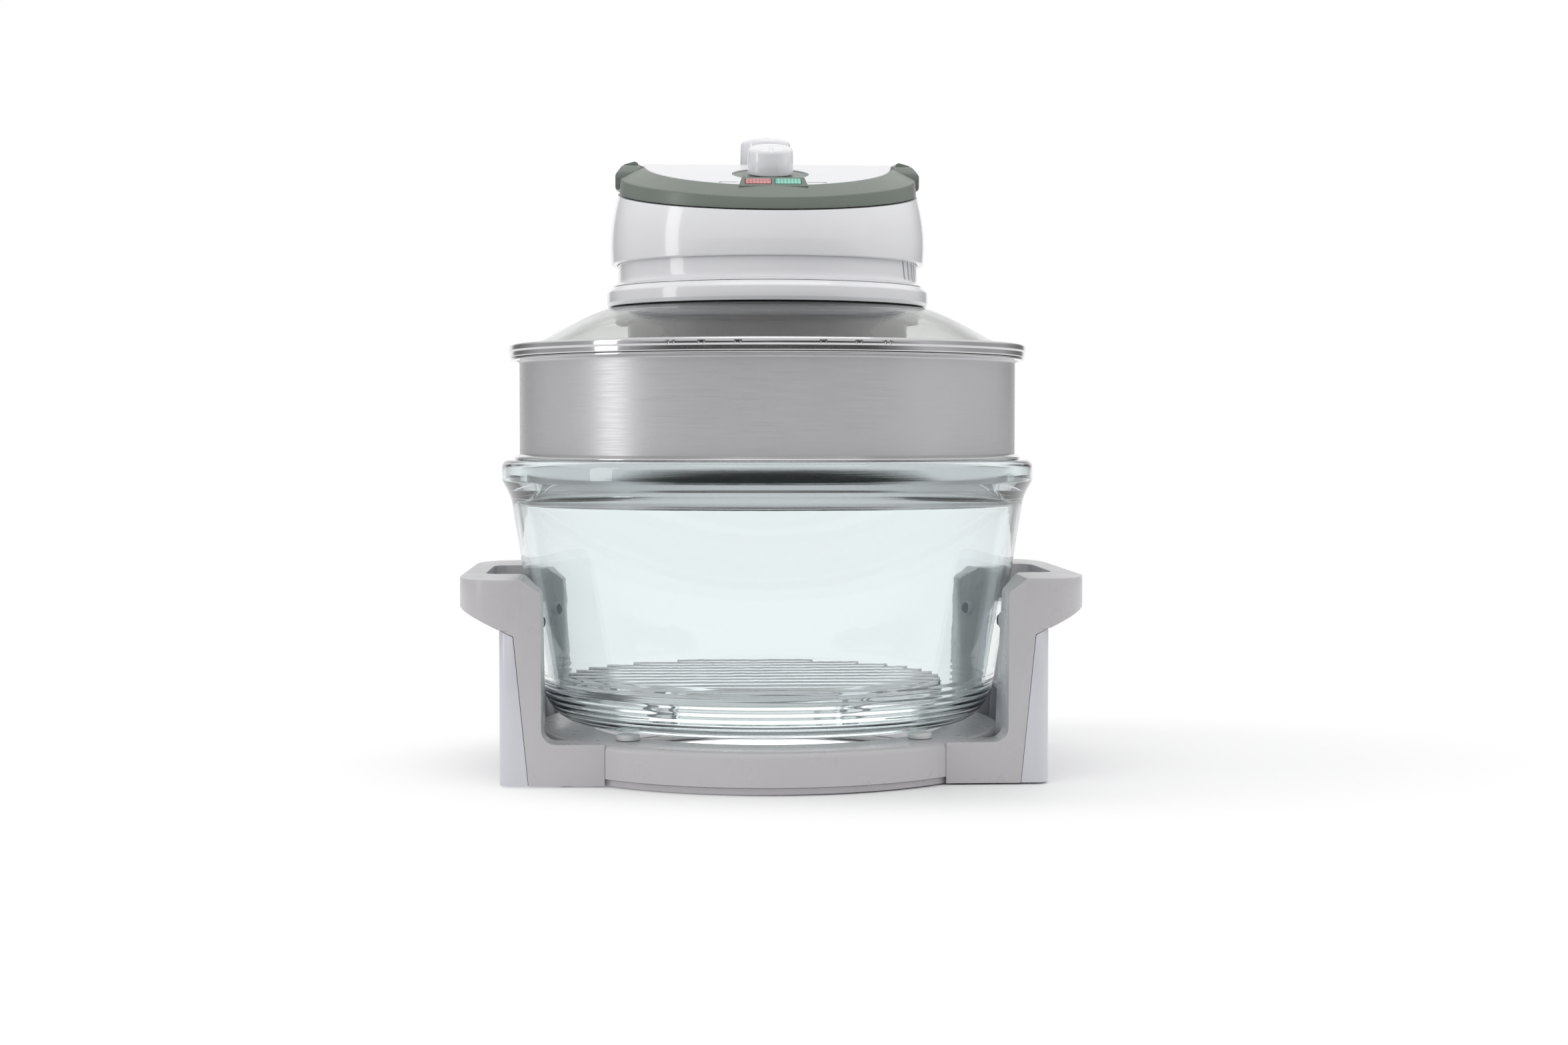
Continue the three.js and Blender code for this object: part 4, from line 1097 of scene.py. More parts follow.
    def side_frame(self) -> bpy.types.Object:
        """Builds the right side frame: two posts, two beams and the carrying loop."""
        post = rounded([(self.inner_x, self.foot_height), (self.outer_x, self.foot_height),
                        (self.outer_x, self.top_z), (self.inner_x + self.post_chamfer, self.top_z, 3),
                        (self.inner_x, self.top_z - 8, 4)])
        posts = prism("right_frame_moulding", post, Axis.Y, -self.half_depth, -self.post_gap)
        combine(posts, [prism("post", post, Axis.Y, self.post_gap, self.half_depth)], "UNION")
        combine(posts, [self.footprint()], "INTERSECT")
        beam = rounded([(self.base_radius / 2, self.foot_height), (self.inner_x + 1, self.foot_height),
                        (self.inner_x + 1, self.base_top + 2 * self.beam_fillet),
                        (self.inner_x, self.base_top + 2 * self.beam_fillet),
                        (self.inner_x, self.base_top, self.beam_fillet),
                        (self.base_radius / 2, self.base_top)])
        beam_start = self.half_depth - self.beam_depth
        ends = sorted((beam_start * side, self.half_depth * side) for side in (-1, 1))
        beams = [prism("beam", beam, Axis.Y, min(span), max(span)) for span in ends]
        combine(posts, [*beams, self.loop()], "UNION")
        soften(merged_planes(posts), self.edge, 4)
        cover_space = prism("cover_space", self.cover_outline(self.seam), Axis.Y,
                            -self.half_depth - 1, self.half_depth + 1)
        combine(posts, [self.bowl_space(), cover_space])
        return soften(merged_planes(posts), self.seam_edge, 2, 50)

    def loop(self) -> bpy.types.Object:
        """Builds the carrying loop, a curved band that stands out from the posts."""
        low = self.cover_top + 2
        start, depth, band = self.inner_x + self.post_chamfer, self.half_depth, self.loop_band
        bend = bezier((self.outer_x - 2, -depth), (self.loop_x - 8, -depth + 1),
                      (self.loop_x - 1.5, -depth + 17),
                      (self.loop_x, -depth + 39), 20)
        front = [(start, -depth), (self.outer_x - 2, -depth), *bend]
        outer = prism("loop", front + [(x, -y) for x, y in reversed(front)], Axis.Z, low, self.top_z)
        gap, inside = self.post_gap, self.loop_x - band
        inner = prism("loop_gap", rounded([
            (start - 1, -gap), (inside, -gap, self.loop_corner), (inside, gap, self.loop_corner),
            (start - 1, gap)]),
            Axis.Z, 0, self.top_z + 1)
        below = prism("loop_underside", [
            (self.outer_x, low - 1), (self.loop_x + 1, low - 1),
            (self.loop_x + 1, self.top_z - self.loop_height),
            (self.loop_x, self.top_z - self.loop_height), (self.outer_x, low)], Axis.Y, -depth - 1, depth + 1)
        return combine(outer, [inner, below])

    def side_cover(self) -> bpy.types.Object:
        """Builds the right outer cover, a hollow shell under the loop with a low sill in the middle."""
        cover = prism("right_cover_moulding", self.cover_outline(0), Axis.Y, -self.half_depth,
                      self.half_depth)
        combine(cover, [self.footprint()], "INTERSECT")
        wall, gap, depth = self.cover_wall, self.post_gap, self.half_depth
        inside = self.outer_x - wall
        hollows = [((-gap, gap), self.sill_height - wall),
                   ((-depth + wall, -gap - wall), self.cover_top - 2 - wall),
                   ((gap + wall, depth - wall), self.cover_top - 2 - wall)]
        window = box_prism("window", (self.inner_x - 30, -gap, self.sill_height),
                           (self.outer_x + 1, gap, self.top_z + 1))
        combine(cover, [self.bowl_space(), window, *(
            box_prism("hollow", (self.inner_x - 30, y[0], self.foot_height + wall), (inside, y[1], top), 1)
            for y, top in hollows)])
        return soften(merged_planes(cover), 0.7)

    def foot(self, number: int) -> None:
        """Turns one rubber foot with a rounded rim and a moulded dimple."""
        low, high = sized(f"rubber_foot_{number}")
        radius, centre = (high.x - low.x) / 2, (low + high) / 2
        piece = lathe(f"foot_{number}_rubber", rounded([
            (0, low.z + 0.8), (1.6, low.z + 0.8, 0.4), (2.4, low.z, 0.4), (radius, low.z, 1.2),
            (radius, high.z, 0.4),
            (0, high.z)]), 48, (centre.x, centre.y))
        install(piece, f"rubber_foot_{number}", Slot.RUBBER)

    def pad(self, number: int) -> None:
        """Turns one milky pad that the bowl rests on."""
        low, high = sized(f"bowl_pad_{number}")
        radius, centre = (high.x - low.x) / 2, (low + high) / 2
        piece = lathe(f"pad_{number}_silicone", rounded([
            (0, low.z), (radius, low.z, 0.3), (radius, high.z - 0.8, 1), (radius - 1.4, high.z, 1),
            (0, high.z)]),
            56, (centre.x, centre.y))
        install(piece, f"bowl_pad_{number}", Slot.SILICONE)

    def bumper(self, number: int) -> None:
        """Builds one bumper: a pale collar on the post, and a rubber face towards the bowl."""
        node = f"bowl_bumper_{number}"
        low, high = sized(node)
        centre = (low + high) / 2
        outward = Vector((centre.x, centre.y, 0)).normalized()
        radius = (high.z - low.z) / 2
        across, along = abs(outward.y), abs(outward.x)
        half = ((high.x - low.x) - 2 * radius * across) / along / 2
        matrix = Matrix.Translation(centre * MM) @ outward.to_track_quat("Z", "Y").to_matrix().to_4x4()
        face = lathe(f"bumper_{number}_rubber", rounded([
            (0, -half), (radius - 1.6, -half, 0.8), (radius - 1.2, 0.2), (0, 0.2)]), 40)
        collar = lathe(f"bumper_{number}_collar", rounded([
            (0, 0.4), (radius - 1, 0.4), (radius - 1, -half + 1.4, 0.2), (radius, -half + 1.4, 0.5),
            (radius, half + 2.5),
            (0, half + 2.5)]), 40)
        install(placed(face, matrix), node, Slot.RUBBER)
        install(placed(collar, matrix), node, Slot.COVER, stands_for=False)


# ---------------------------------------------------------------- bowl and rack


@dataclass
class Bowl:
    """The pressed glass bowl, in millimetres."""

    wall: float = 5.0
    rim_width: float = 11.0
    rim_height: float = 12.5
    flare: float = 5.5
    taper: float = 16.5
    heel_height: float = 33.0
    heel_width: float = 24.0
    ripple_pitch: float = 4.4
    ripple_depth: float = 0.28

    def build(self) -> None:
        """Turns the bowl with its thick rim and the ripples round its heel."""
        low, high = sized("glass_bowl")
        rim, floor, top = high.x, low.z, high.z
        wall_radius = rim - self.flare
        heel_radius = wall_radius - self.taper
        heel_z, floor_radius = floor + self.heel_height, heel_radius - self.heel_width
        wall_top = top - self.rim_height - 2 * self.wall
        heel = [(floor_radius, floor), *bezier(
            (floor_radius, floor), (floor_radius + 15, floor + 0.5), (heel_radius - 1.5, floor + 15),
            (heel_radius, heel_z), 64)]
        inside = bezier((heel_radius - self.wall, heel_z + 1), (heel_radius - self.wall - 1.4, floor + 18),
                        (floor_radius + 11, floor + self.wall + 0.5), (floor_radius - 1, floor + self.wall),
                        24)
        # The second ring of points keeps the big flat face's normals straight up to its edge.
        outline = [(0, floor + 0.8), (floor_radius - 15.5, floor + 0.8), (floor_radius - 14, floor + 0.8),
                   (floor_radius - 12, floor), *self.rippled(heel)]
        outline += rounded([
            heel[-1], (wall_radius, wall_top, 30), (rim, top - self.rim_height, 4), (rim, top, 4.5),
            (rim - self.rim_width, top, 3), (wall_radius - self.wall, wall_top, 14),
            (heel_radius - self.wall, heel_z + 1)], closed=False)[1:]
        outline += [*inside, (floor_radius - 3, floor + self.wall), (0, floor + self.wall)]
        install(lathe("bowl_glass", outline, 180), "glass_bowl", Slot.GLASS)

    def rippled(self, curve: Sequence[Point]) -> list[tuple[float, float]]:
        """Presses shallow ripples into a curve, fading out at both ends."""
        points, travelled = [], 0.0
        total = sum(math.dist(a, b) for a, b in zip(curve, curve[1:]))
        for i, point in enumerate(curve):
            travelled += math.dist(curve[i - 1], point) if i else 0
            before, after = curve[max(i - 1, 0)], curve[min(i + 1, len(curve) - 1)]
            tangent = Vector((after[0] - before[0], after[1] - before[1])).normalized()
            fade = min(1, travelled / 8, (total - travelled) / 8)
            phase = 2 * math.pi * travelled / self.ripple_pitch
            push = -self.ripple_depth * fade * (0.5 - 0.5 * math.cos(phase))
            points.append((point[0] + tangent.y * push, point[1] - tangent.x * push))
        return points


@dataclass
class Rack:
    """The chromed wire rack that stands in the bowl, in millimetres."""

    ring_wire: float = 2.2
    bar_wire: float = 1.1
    bars: int = 13
    bar_inset: float = 9.0
    legs: int = 6
    leg_width: float = 17.0
    leg_inset: float = 14.0
    leg_height: float = 16.0

    def build(self) -> None:
        """Bends the ring, the bars and the legs, and joins them as one welded rack."""
        low, high = sized("wire_rack")
        centre_x, foot_z = (low.x + high.x) / 2, low.z
        radius = (high.y - low.y) / 2 - self.ring_wire
        ring_z = foot_z + self.leg_height
        bm = bmesh.new()
        circle = [Vector((centre_x + radius * math.cos(a), radius * math.sin(a), ring_z))
                  for a in (2 * math.pi * k / 120 for k in range(120))]
        wire(bm, circle, self.ring_wire, 12, closed=True)
        bar_z = ring_z + self.ring_wire + 0.5 * self.bar_wire
        pitch = 2 * (radius - self.bar_inset) / (self.bars - 1)
        for i in range(self.bars):
            y = (i - (self.bars - 1) / 2) * pitch
            half = math.sqrt(radius ** 2 - y ** 2) + 1
            tip = self.bar_wire * 0.6
            wire(bm, [Vector((centre_x + x, y, bar_z)) for x in (-half, -half + tip, 0, half - tip, half)],
                 self.bar_wire, 10)
        for i in range(self.legs):
            self.leg(bm, radius, Matrix.Translation((centre_x, 0, foot_z)) @ Matrix.Rotation(
                2 * math.pi * i / self.legs, 4, "Z"))
        install(finish_mesh(bm, "rack_chromed_wire"), "wire_rack", Slot.CHROME)

    def leg(self, bm: bmesh.types.BMesh, radius: float, matrix: Matrix) -> None:
        """Bends one U-shaped leg that leans inwards to its foot."""
        top, half = self.leg_height - 1, self.leg_width / 2
        slope = (self.leg_inset - 1) / (top - self.ring_wire)
        shape = [(-half, top), (-half + 0.6, top * 0.6), (-half + 2.4, top * 0.28),
                 (-half + 5.5, self.ring_wire),
                 (0, self.ring_wire), (half - 5.5, self.ring_wire), (half - 2.4, top * 0.28),
                 (half - 0.6, top * 0.6),
                 (half, top)]
        path = smooth_path([(radius - 1 - (top - z) * slope, along, z) for along, z in shape], 4)
        wire(bm, [matrix @ point for point in path], self.ring_wire, 10)


# ---------------------------------------------------------------- extension ring and lid


@dataclass
class ExtensionRing:
    """The steel band between the bowl and the lid, in millimetres."""

    sheet: float = 1.0
    skirt_depth: float = 26.0
    skirt_step: float = 4.0

    def build(self) -> None:
        """Turns the band with its skirt, its foot bead and its top flange."""
        low, high = sized("extension_ring")
        flange, top = high.x, high.z
        radius = flange - 5.6
        foot = low.z + self.skirt_depth
        skirt, sheet = radius - self.skirt_step, self.sheet
        skirt_outline = rounded([
            (skirt - sheet, low.z, 0.4), (skirt, low.z, 0.4), (skirt, low.z + 9, 2),
            (skirt - 0.7, low.z + 11, 2),
            (skirt, low.z + 13, 2), (skirt, foot, 0.5), (radius + 3, foot, 0.5),
            (radius + 3.6, foot + 1.4, 0.8),
            (radius + 0.4, foot + 3.4, 0.4), (radius - 0.3, foot + 2.6, 0.4), (radius + 2, foot + 1.6, 0.4),
            (skirt - sheet, foot + sheet, 0.6), (skirt - sheet, low.z + 13, 2),
            (skirt - 0.7 - sheet, low.z + 11, 2),
            (skirt - sheet, low.z + 9, 2)])
        band_outline = rounded([
            (radius - sheet, foot + 3.2), (radius, foot + 3.2), (radius, top - 2.6, 1.4),
            (radius + 1.6, top - 1.6, 0.6),
            (radius + 1.6, top - 0.1), (radius - sheet, top - 0.1, 0.5)])
        flange_outline = rounded([
            (radius + 1.7, top - 1.6), (flange, top - 1.3, 0.4), (flange, top, 0.5), (radius + 1.7, top)])
        install(lathe("ring_satin_band", band_outline, 192), "extension_ring", Slot.STEEL)
        install(lathe("ring_bright_skirt", skirt_outline, 192), "extension_ring", Slot.STEEL, False,
                BRIGHT_STEEL)
        install(lathe("ring_bright_flange", flange_outline, 192), "extension_ring", Slot.STEEL, False,
                BRIGHT_STEEL)


@dataclass
class Lid:
    """The glass lid, its steel rim band and the gasket under the head, in millimetres."""

    sheet: float = 1.0
    band_width: float = 12.5
    glass: float = 4.4
    hole_radius: float = 60.0
    gasket_inset: float = 2.6
    clearance: float = 0.3
    crimps: tuple[float, ...] = (8.6, 16.0, 22.4)
    crimp_depth: float = 0.45
    crimp_spacing: float = 3.2

    def build(self) -> None:
        """Builds the band, the glass and the gasket."""
        low, high = sized("lid_band")
        self.band_radius, self.band_z, self.top = high.x, low.z + 8, high.z
        self.lip = self.band_radius - self.band_width
        install(self.band(low.z), "lid_band", Slot.STEEL, finish=BRIGHT_STEEL)
        install(self.dome(), "glass_lid", Slot.GLASS, finish=LID_GLASS)
        low, high = sized("lid_gasket")
        edge = high.x - self.gasket_inset
        gasket = lathe("gasket_moulding", rounded([
            (self.hole_radius + 4, low.z), (edge, low.z, 0.4), (edge, high.z, 0.4),
            (self.hole_radius + 4, high.z)]))
        install(gasket, "lid_gasket", Slot.BLACK)

    def band(self, skirt_z: float) -> bpy.types.Object:
        """Turns the rim band, rolled over the edge of the glass, with crimps pressed in its wall."""
        radius, sheet = self.band_radius, self.sheet
        skirt = sized("extension_ring")[1].x - 9.1
        outline = rounded([
            (skirt - sheet, skirt_z, 0.4), (skirt, skirt_z, 0.4), (skirt, self.band_z, 0.3),
            (radius - 0.6, self.band_z, 0.8), (radius - 0.6, self.band_z + 3.2, 0.4),
            (radius, self.band_z + 4.2, 0.6),
            (radius, self.top, 1.5), (self.lip, self.top, 0.5), (self.lip, self.top - sheet, 0.4),
            (radius - 1.6, self.top - sheet, 0.5), (radius - 1.6, self.band_z + sheet, 0.4),
            (skirt - sheet, self.band_z + sheet, 0.5)])
        band = lathe("lid_steel_band", outline, 192)
        dents = bmesh.new()
        for crimp in self.crimps:
            for angle in (-90 - crimp, -90 + crimp, 90 - crimp, 90 + crimp):
                for shift in (-self.crimp_spacing / 2, self.crimp_spacing / 2):
                    dent = box_prism("dent", (radius - self.crimp_depth, shift - 0.5, self.band_z + 1.2),
                                     (radius + 2, shift + 0.5, self.top - 1.6), 0.3)
                    dents.from_mesh(placed(dent, Matrix.Rotation(math.radians(angle), 4, "Z")).data)
                    bpy.data.objects.remove(dent)
        return combine(band, [finish_mesh(dents, "dents")])

    def dome(self) -> bpy.types.Object:
        """Turns the lid's glass: a flat middle under the head, and a shallow slope to the rim."""
        flat = sized("glass_lid")[1].z
        edge = self.band_radius - self.sheet - 0.6 - 2 * self.clearance
        edge_top = self.top - self.sheet - self.clearance
        edge_low = self.band_z + self.sheet + self.clearance
        flat_radius = sized("upper_housing")[1].x - self.clearance
        slope = [(flat_radius - 1.5, flat), (flat_radius, flat), *bezier(
            (flat_radius, flat), (flat_radius + 16, flat - 4.6), (self.lip - 16, self.top + 6.8),
            (self.lip - 2, self.top))]
        under = [(x - 1.6, z - self.glass) for x, z in reversed(slope)]
        return lathe("lid_glass", [
            (self.hole_radius, flat - 0.6), (self.hole_radius + 0.6, flat), *slope,
            (self.lip, edge_top), (edge, edge_top), (edge, edge_low), (self.lip - 1, edge_low), *under,
            (self.hole_radius, flat - self.glass)], 180)


# ---------------------------------------------------------------- heater and fan


@dataclass
class Heater:
    """Heat shield, lamp, guard and fan, which hang under the lid's glass, in millimetres."""

    sheet: float = 1.0
    bore: float = 6.0
    lamp_radius: float = 64.0
    lamp_tube: float = 4.5
    lamp_end: float = 10.0
    wire: float = 1.0

    def build(self) -> None:
        """Builds the heater and dresses its fixings."""
        self.shield()
        self.guard()
        self.reflector()
        self.lamp()
        self.grille()
        self.fan()
        dress(["lamp_holder_front", "lamp_holder_rear"], Slot.CERAMIC, 0.6)
        dress([f"clamp_screw_{number}" for number in (1, 2, 3)], Slot.ZINC, 0.3)
        dress(["motor_shaft"], Slot.ZINC)

    def shield(self) -> None:
        """Turns the enamelled shield against the glass."""
        low, high = sized("heat_shield")
        radius = high.y if high.y > high.x else high.x
        piece = lathe("shield_enamelled", rounded([
            (self.bore, high.z - self.sheet), (radius - 2, high.z - self.sheet, 1), (radius - 1, low.z, 0.3),
            (radius, low.z, 0.3), (radius - 0.6, high.z, 1.4), (self.bore, high.z)]))
        install(piece, "heat_shield", Slot.ENAMEL)

    def guard(self) -> None:
        """Turns the guard, a rolled sheet cylinder round the lamp."""
        low, high = sized("heater_guard")
        radius = high.x - 3
        piece = lathe("guard_steel", rounded([
            (radius - 3, high.z), (radius - 3, high.z - self.sheet, 0.3),
            (radius - self.sheet, high.z - self.sheet, 0.6),
            (radius - self.sheet, low.z + 1.2, 0.4), (radius - 1.6, low.z + 0.7, 0.4),
            (radius - 1, low.z, 0.5),
            (radius, low.z, 0.5), (radius, high.z - self.sheet, 0.6), (radius + 3, high.z - self.sheet, 0.3),
            (radius + 3, high.z, 0.3)]))
        # The guard's finish is coloured dark: a painted reflection of dark surroundings.
        install(piece, "heater_guard", Slot.STEEL, finish=PAINTED_DARK_GUARD_STEEL)

    def reflector(self) -> None:
        """Spins the reflector over the lamp, with a shallow groove above the tube."""
        low, high = sized("reflector")
        radius, floor, sheet = high.x, low.z, self.sheet
        groove = [(self.lamp_radius + x, floor + 1.4 * (1 + math.cos(math.pi * x / 12)) / 2 + 0.05)
                  for x in range(-12, 13, 2)]
        top = [(x, z + sheet) for x, z in reversed(groove)]
        piece = lathe("reflector_spun", [
            (self.bore, floor), *groove, *rounded([
                (radius - 3, floor), (radius, floor, 1), (radius, high.z, 0.3), (radius - sheet, high.z, 0.3),
                (radius - sheet, floor + sheet, 0.6), (radius - 3, floor + sheet)], closed=False),
            *top, (self.bore, floor + sheet)])
        install(piece, "reflector", Slot.CHROME)

    def lamp(self) -> None:
        """Bends the quartz lamp, and winds the filament in it."""
        low, high = sized("halogen_lamp")
        level = (low.z + high.z) / 2

        def arc(inset: float, count: int) -> list[Vector]:
            """Gives points along the lamp's centreline."""
            start, sweep = self.lamp_end + inset, 360 - 2 * (self.lamp_end + inset)
            return [Vector((self.lamp_radius * math.cos(a), self.lamp_radius * math.sin(a), level))
                    for a in (math.radians(start + sweep * k / (count - 1)) for k in range(count))]

        bm = bmesh.new()
        wire(bm, arc(0, 97), self.lamp_tube, 20)
        install(finish_mesh(bm, "lamp_quartz_tube"), "halogen_lamp", Slot.QUARTZ)
        line, turns = arc(6, 2 * 12 * 60 + 1), 120
        coil = []
        for k, point in enumerate(line[::3]):
            angle = 2 * math.pi * turns * k * 3 / len(line)
            radial = Vector((point.x, point.y, 0)).normalized()
            coil.append(point + (radial * math.cos(angle) + Vector((0, 0, 1)) * math.sin(angle)) * 1.3)
        bm = bmesh.new()
        wire(bm, coil, 0.3, 5)
        install(finish_mesh(bm, "lamp_filament"), "halogen_lamp", Slot.ZINC, stands_for=False)

    def grille(self) -> None:
        """Welds the grille under the lamp from rings and three cross wires."""
        low, high = sized("heater_grille")
        level = (low.z + high.z) / 2
        outer = (high.x - low.x) / 2 - 1
        bm = bmesh.new()
        for radius in (29.0, 57.0, outer):
            wire(bm, [Vector((radius * math.cos(a), radius * math.sin(a), level))
                      for a in (2 * math.pi * k / 96 for k in range(96))], self.wire, 8, closed=True)
        for angle in (0, 60, 120):
            end = Vector((math.cos(math.radians(angle)), math.sin(math.radians(angle)), 0)) * outer
            wire(bm, [-end + Vector((0, 0, level)), Vector((0, 0, level)), end + Vector((0, 0, level))],
                 0.9, 8)
        install(finish_mesh(bm, "grille_welded_wire"), "heater_grille", Slot.CHROME)

    def fan(self) -> None:
        """Presses the fan: a hub with six cambered blades."""
        low, high = sized("fan_blade")
        radius = (high.y - low.y) / 2
        hub_radius, pitch = 9.0, math.radians(35)
        piece = lathe("fan_pressed_hub", rounded([
            (2.8, low.z), (hub_radius, low.z, 1), (hub_radius, high.z, 1), (2.8, high.z)]), 48)
        install(piece, "fan_blade", Slot.ZINC, stands_for=False)
        bm = bmesh.new()
        middle, half, steps = (low.z + high.z) / 2, (high.z - low.z) / 2, 8
        for blade in range(6):
            turn = Matrix.Rotation(2 * math.pi * blade / 6, 4, "Z")
            grid = []
            for i in range(steps + 1):
                reach = hub_radius - 1.5 + (radius - hub_radius + 1.5) * i / steps
                bulge = math.sin(math.pi * (0.25 + 0.55 * i / steps))
                width = half / math.sin(pitch) * 0.9 * (0.55 + 0.45 * bulge)
                row = []
                for j in range(steps + 1):
                    across = (2 * j / steps - 1) * width
                    camber = 1.4 * (1 - (across / width) ** 2)
                    row.append((reach, across * math.cos(pitch),
                                across * math.sin(pitch) * 0.62 + camber * 0.5))
                grid.append(row)
            for side, offset in ((0, 0.4), (1, -0.4)):
                verts = [[bm.verts.new(turn @ Vector((x, y, z + middle + offset)) * MM) for x, y, z in row]
                         for row in grid]
                for i in range(steps):
                    for j in range(steps):
                        bm.faces.new([verts[i][j], verts[i + 1][j], verts[i + 1][j + 1], verts[i][j + 1]])
                rim = [*verts[0], *(row[-1] for row in verts[1:]), *reversed(verts[-1][:-1]),
                       *(row[0] for row in reversed(verts[1:-1]))]
                if side == 0:
                    upper = rim
            for k in range(len(rim)):
                after = (k + 1) % len(rim)
                bm.faces.new([upper[k], upper[after], rim[after], rim[k]])
        install(finish_mesh(bm, "fan_pressed_blades"), "fan_blade", Slot.ZINC)


# ---------------------------------------------------------------- control head


def lean_amount(z: float, low: float, high: float, low_lean: float, high_lean: float) -> float:
    """Gives the slope of the head's front half at a height."""
    return low_lean + (high_lean - low_lean) * (z - low) / (high - low)


@dataclass
class Head:
    """The control head's shells and its sloping panel, in millimetres."""

    shell: float = 2.5
    clearance: float = 0.3
    drip_lip: float = 1.7
    vent_slots: int = 14
    vent_pitch: float = 4.4
    vent_starts: tuple[float, float] = (60.0, 150.0)
    vent_width: float = 2.2
    vent_height: float = 11.4
    vent_tilt: float = 14.0
    housing_lean: float = 0.196
    panel_lean: float = 0.26
    trim_height: float = 10.5
    trim_end: float = -13.0
    panel_rise: float = 18.0
    lens_width: float = 15.3
    lens_depth: float = 5.5
    lens_sink: float = 1.4
    tab_back: float = 1.6
    tab_depth: float = 2.4
    tab_foot: tuple[float, float] = (-7.6, -0.6)
    tab_crest: tuple[float, float] = (1.0, 3.4)
    tab_side: float = 5.2
    tab_taper: float = 2.2
    knob_sink: float = 1.6

    def __post_init__(self) -> None:
        """Takes the levels from the frame."""
        neck_low, neck_high = sized("lower_housing")
        self.neck_z, self.neck_top, self.neck_radius = neck_low.z, neck_high.z, neck_high.x
        self.head_radius = sized("upper_housing")[1].x
        self.housing_top = sized("upper_housing")[1].z
        self.shoulder = self.head_radius - 5.4
        self.panel_radius = sized("control_panel")[1].x
        self.panel_z = self.housing_top + self.panel_rise
        self.tab_y = -self.panel_radius + 5

    def build(self) -> None:
        """Builds every shell of the head."""
        install(self.collar(), "collar", Slot.WHITE)
        install(self.neck(), "lower_housing", Slot.WHITE)
        install(self.housing(), "upper_housing", Slot.WHITE)
        install(self.grommet(), "cord_grommet", Slot.BLACK)
        install(self.trim(), "front_trim", Slot.GREY)
        install(self.lens(-1, "red_lens_moulding"), "red_lens", Slot.RED)
        install(self.lens(1, "green_lens_moulding"), "green_lens", Slot.GREEN)
        install(self.panel(), "control_panel", Slot.WHITE)
        for side, name in ((-1, "left_lamp_mark"), (1, "right_lamp_mark")):
            install(self.lamp_mark(side, name), "control_panel", Slot.GREY, stands_for=False)
        dress(["safety_switch", "thermostat_unit", "timer_unit"], Slot.BLACK, 0.8)
        dress(["switch_plunger"], Slot.WHITE, 0.5)
        dress(["motor_bracket"], Slot.ZINC, 0.3)
        dress(["fan_motor"], Slot.ENAMEL, 1.0)
        dress(["cooling_fan"], Slot.BLACK, 0.2)

    def collar(self) -> bpy.types.Object:
        """Turns the wide collar under the neck."""
        low, high = sized("collar")
        radius, top, bottom, shell = high.x, high.z, low.z, self.shell
        return lathe("collar_moulding", rounded([
            (30, bottom), (radius - 3.2, bottom), (radius - 2.9, bottom - self.drip_lip, 0.2),
            (radius - 0.9, bottom - self.drip_lip, 0.4), (radius, bottom + 0.6, 0.5),
            (radius, top - 3.1, 2.2),
            (radius - 3, top, 1.6), (self.neck_radius - 5, top), (self.neck_radius - 5, top - shell),
            (radius - 4, top - shell, 1), (radius - shell, bottom + shell + 2, 1),
            (radius - shell, bottom + shell),
            (30, bottom + shell)]), 192)

    def neck(self) -> bpy.types.Object:
        """Turns the neck with its flared foot, and cuts the slanted vent slots."""
        radius, shell, bottom, top = self.neck_radius, self.shell, self.neck_z, self.neck_top
        foot = bezier((radius + 3.2, bottom + 0.5), (radius + 1.2, bottom + 1), (radius, bottom + 2.6),
                      (radius, bottom + 5.5), 8)
        neck = lathe("neck_moulding", [
            (radius - 8, bottom), (radius + 3.2, bottom), (radius + 3.2, bottom + 0.5), *foot, (radius, top),
            (radius - shell, top), (radius - shell, bottom + 2), (radius - 8, bottom + 2)], 192)
        half_width, half_height = self.vent_width / 2, self.vent_height / 2
        stadium = rounded([(-half_width, -half_height, half_width * 0.98),
                           (half_width, -half_height, half_width * 0.98),
                           (half_width, half_height, half_width * 0.98),
                           (-half_width, half_height, half_width * 0.98)],
                          arc_degrees=30)
        cutters = bmesh.new()
        for start in self.vent_starts:
            for i in range(self.vent_slots):
                angle = math.radians(start + i * self.vent_pitch - 90)
                slot = prism("slot", stadium, Axis.X, -6, 6)
                placed(slot, Matrix.Rotation(angle, 4, "Z")
                       @ Matrix.Translation(Vector((radius, 0, top - 0.8 - half_height)) * MM)
                       @ Matrix.Rotation(math.radians(self.vent_tilt), 4, "X"))
                cutters.from_mesh(slot.data)
                bpy.data.objects.remove(slot)
        return combine(neck, [finish_mesh(cutters, "slots")])

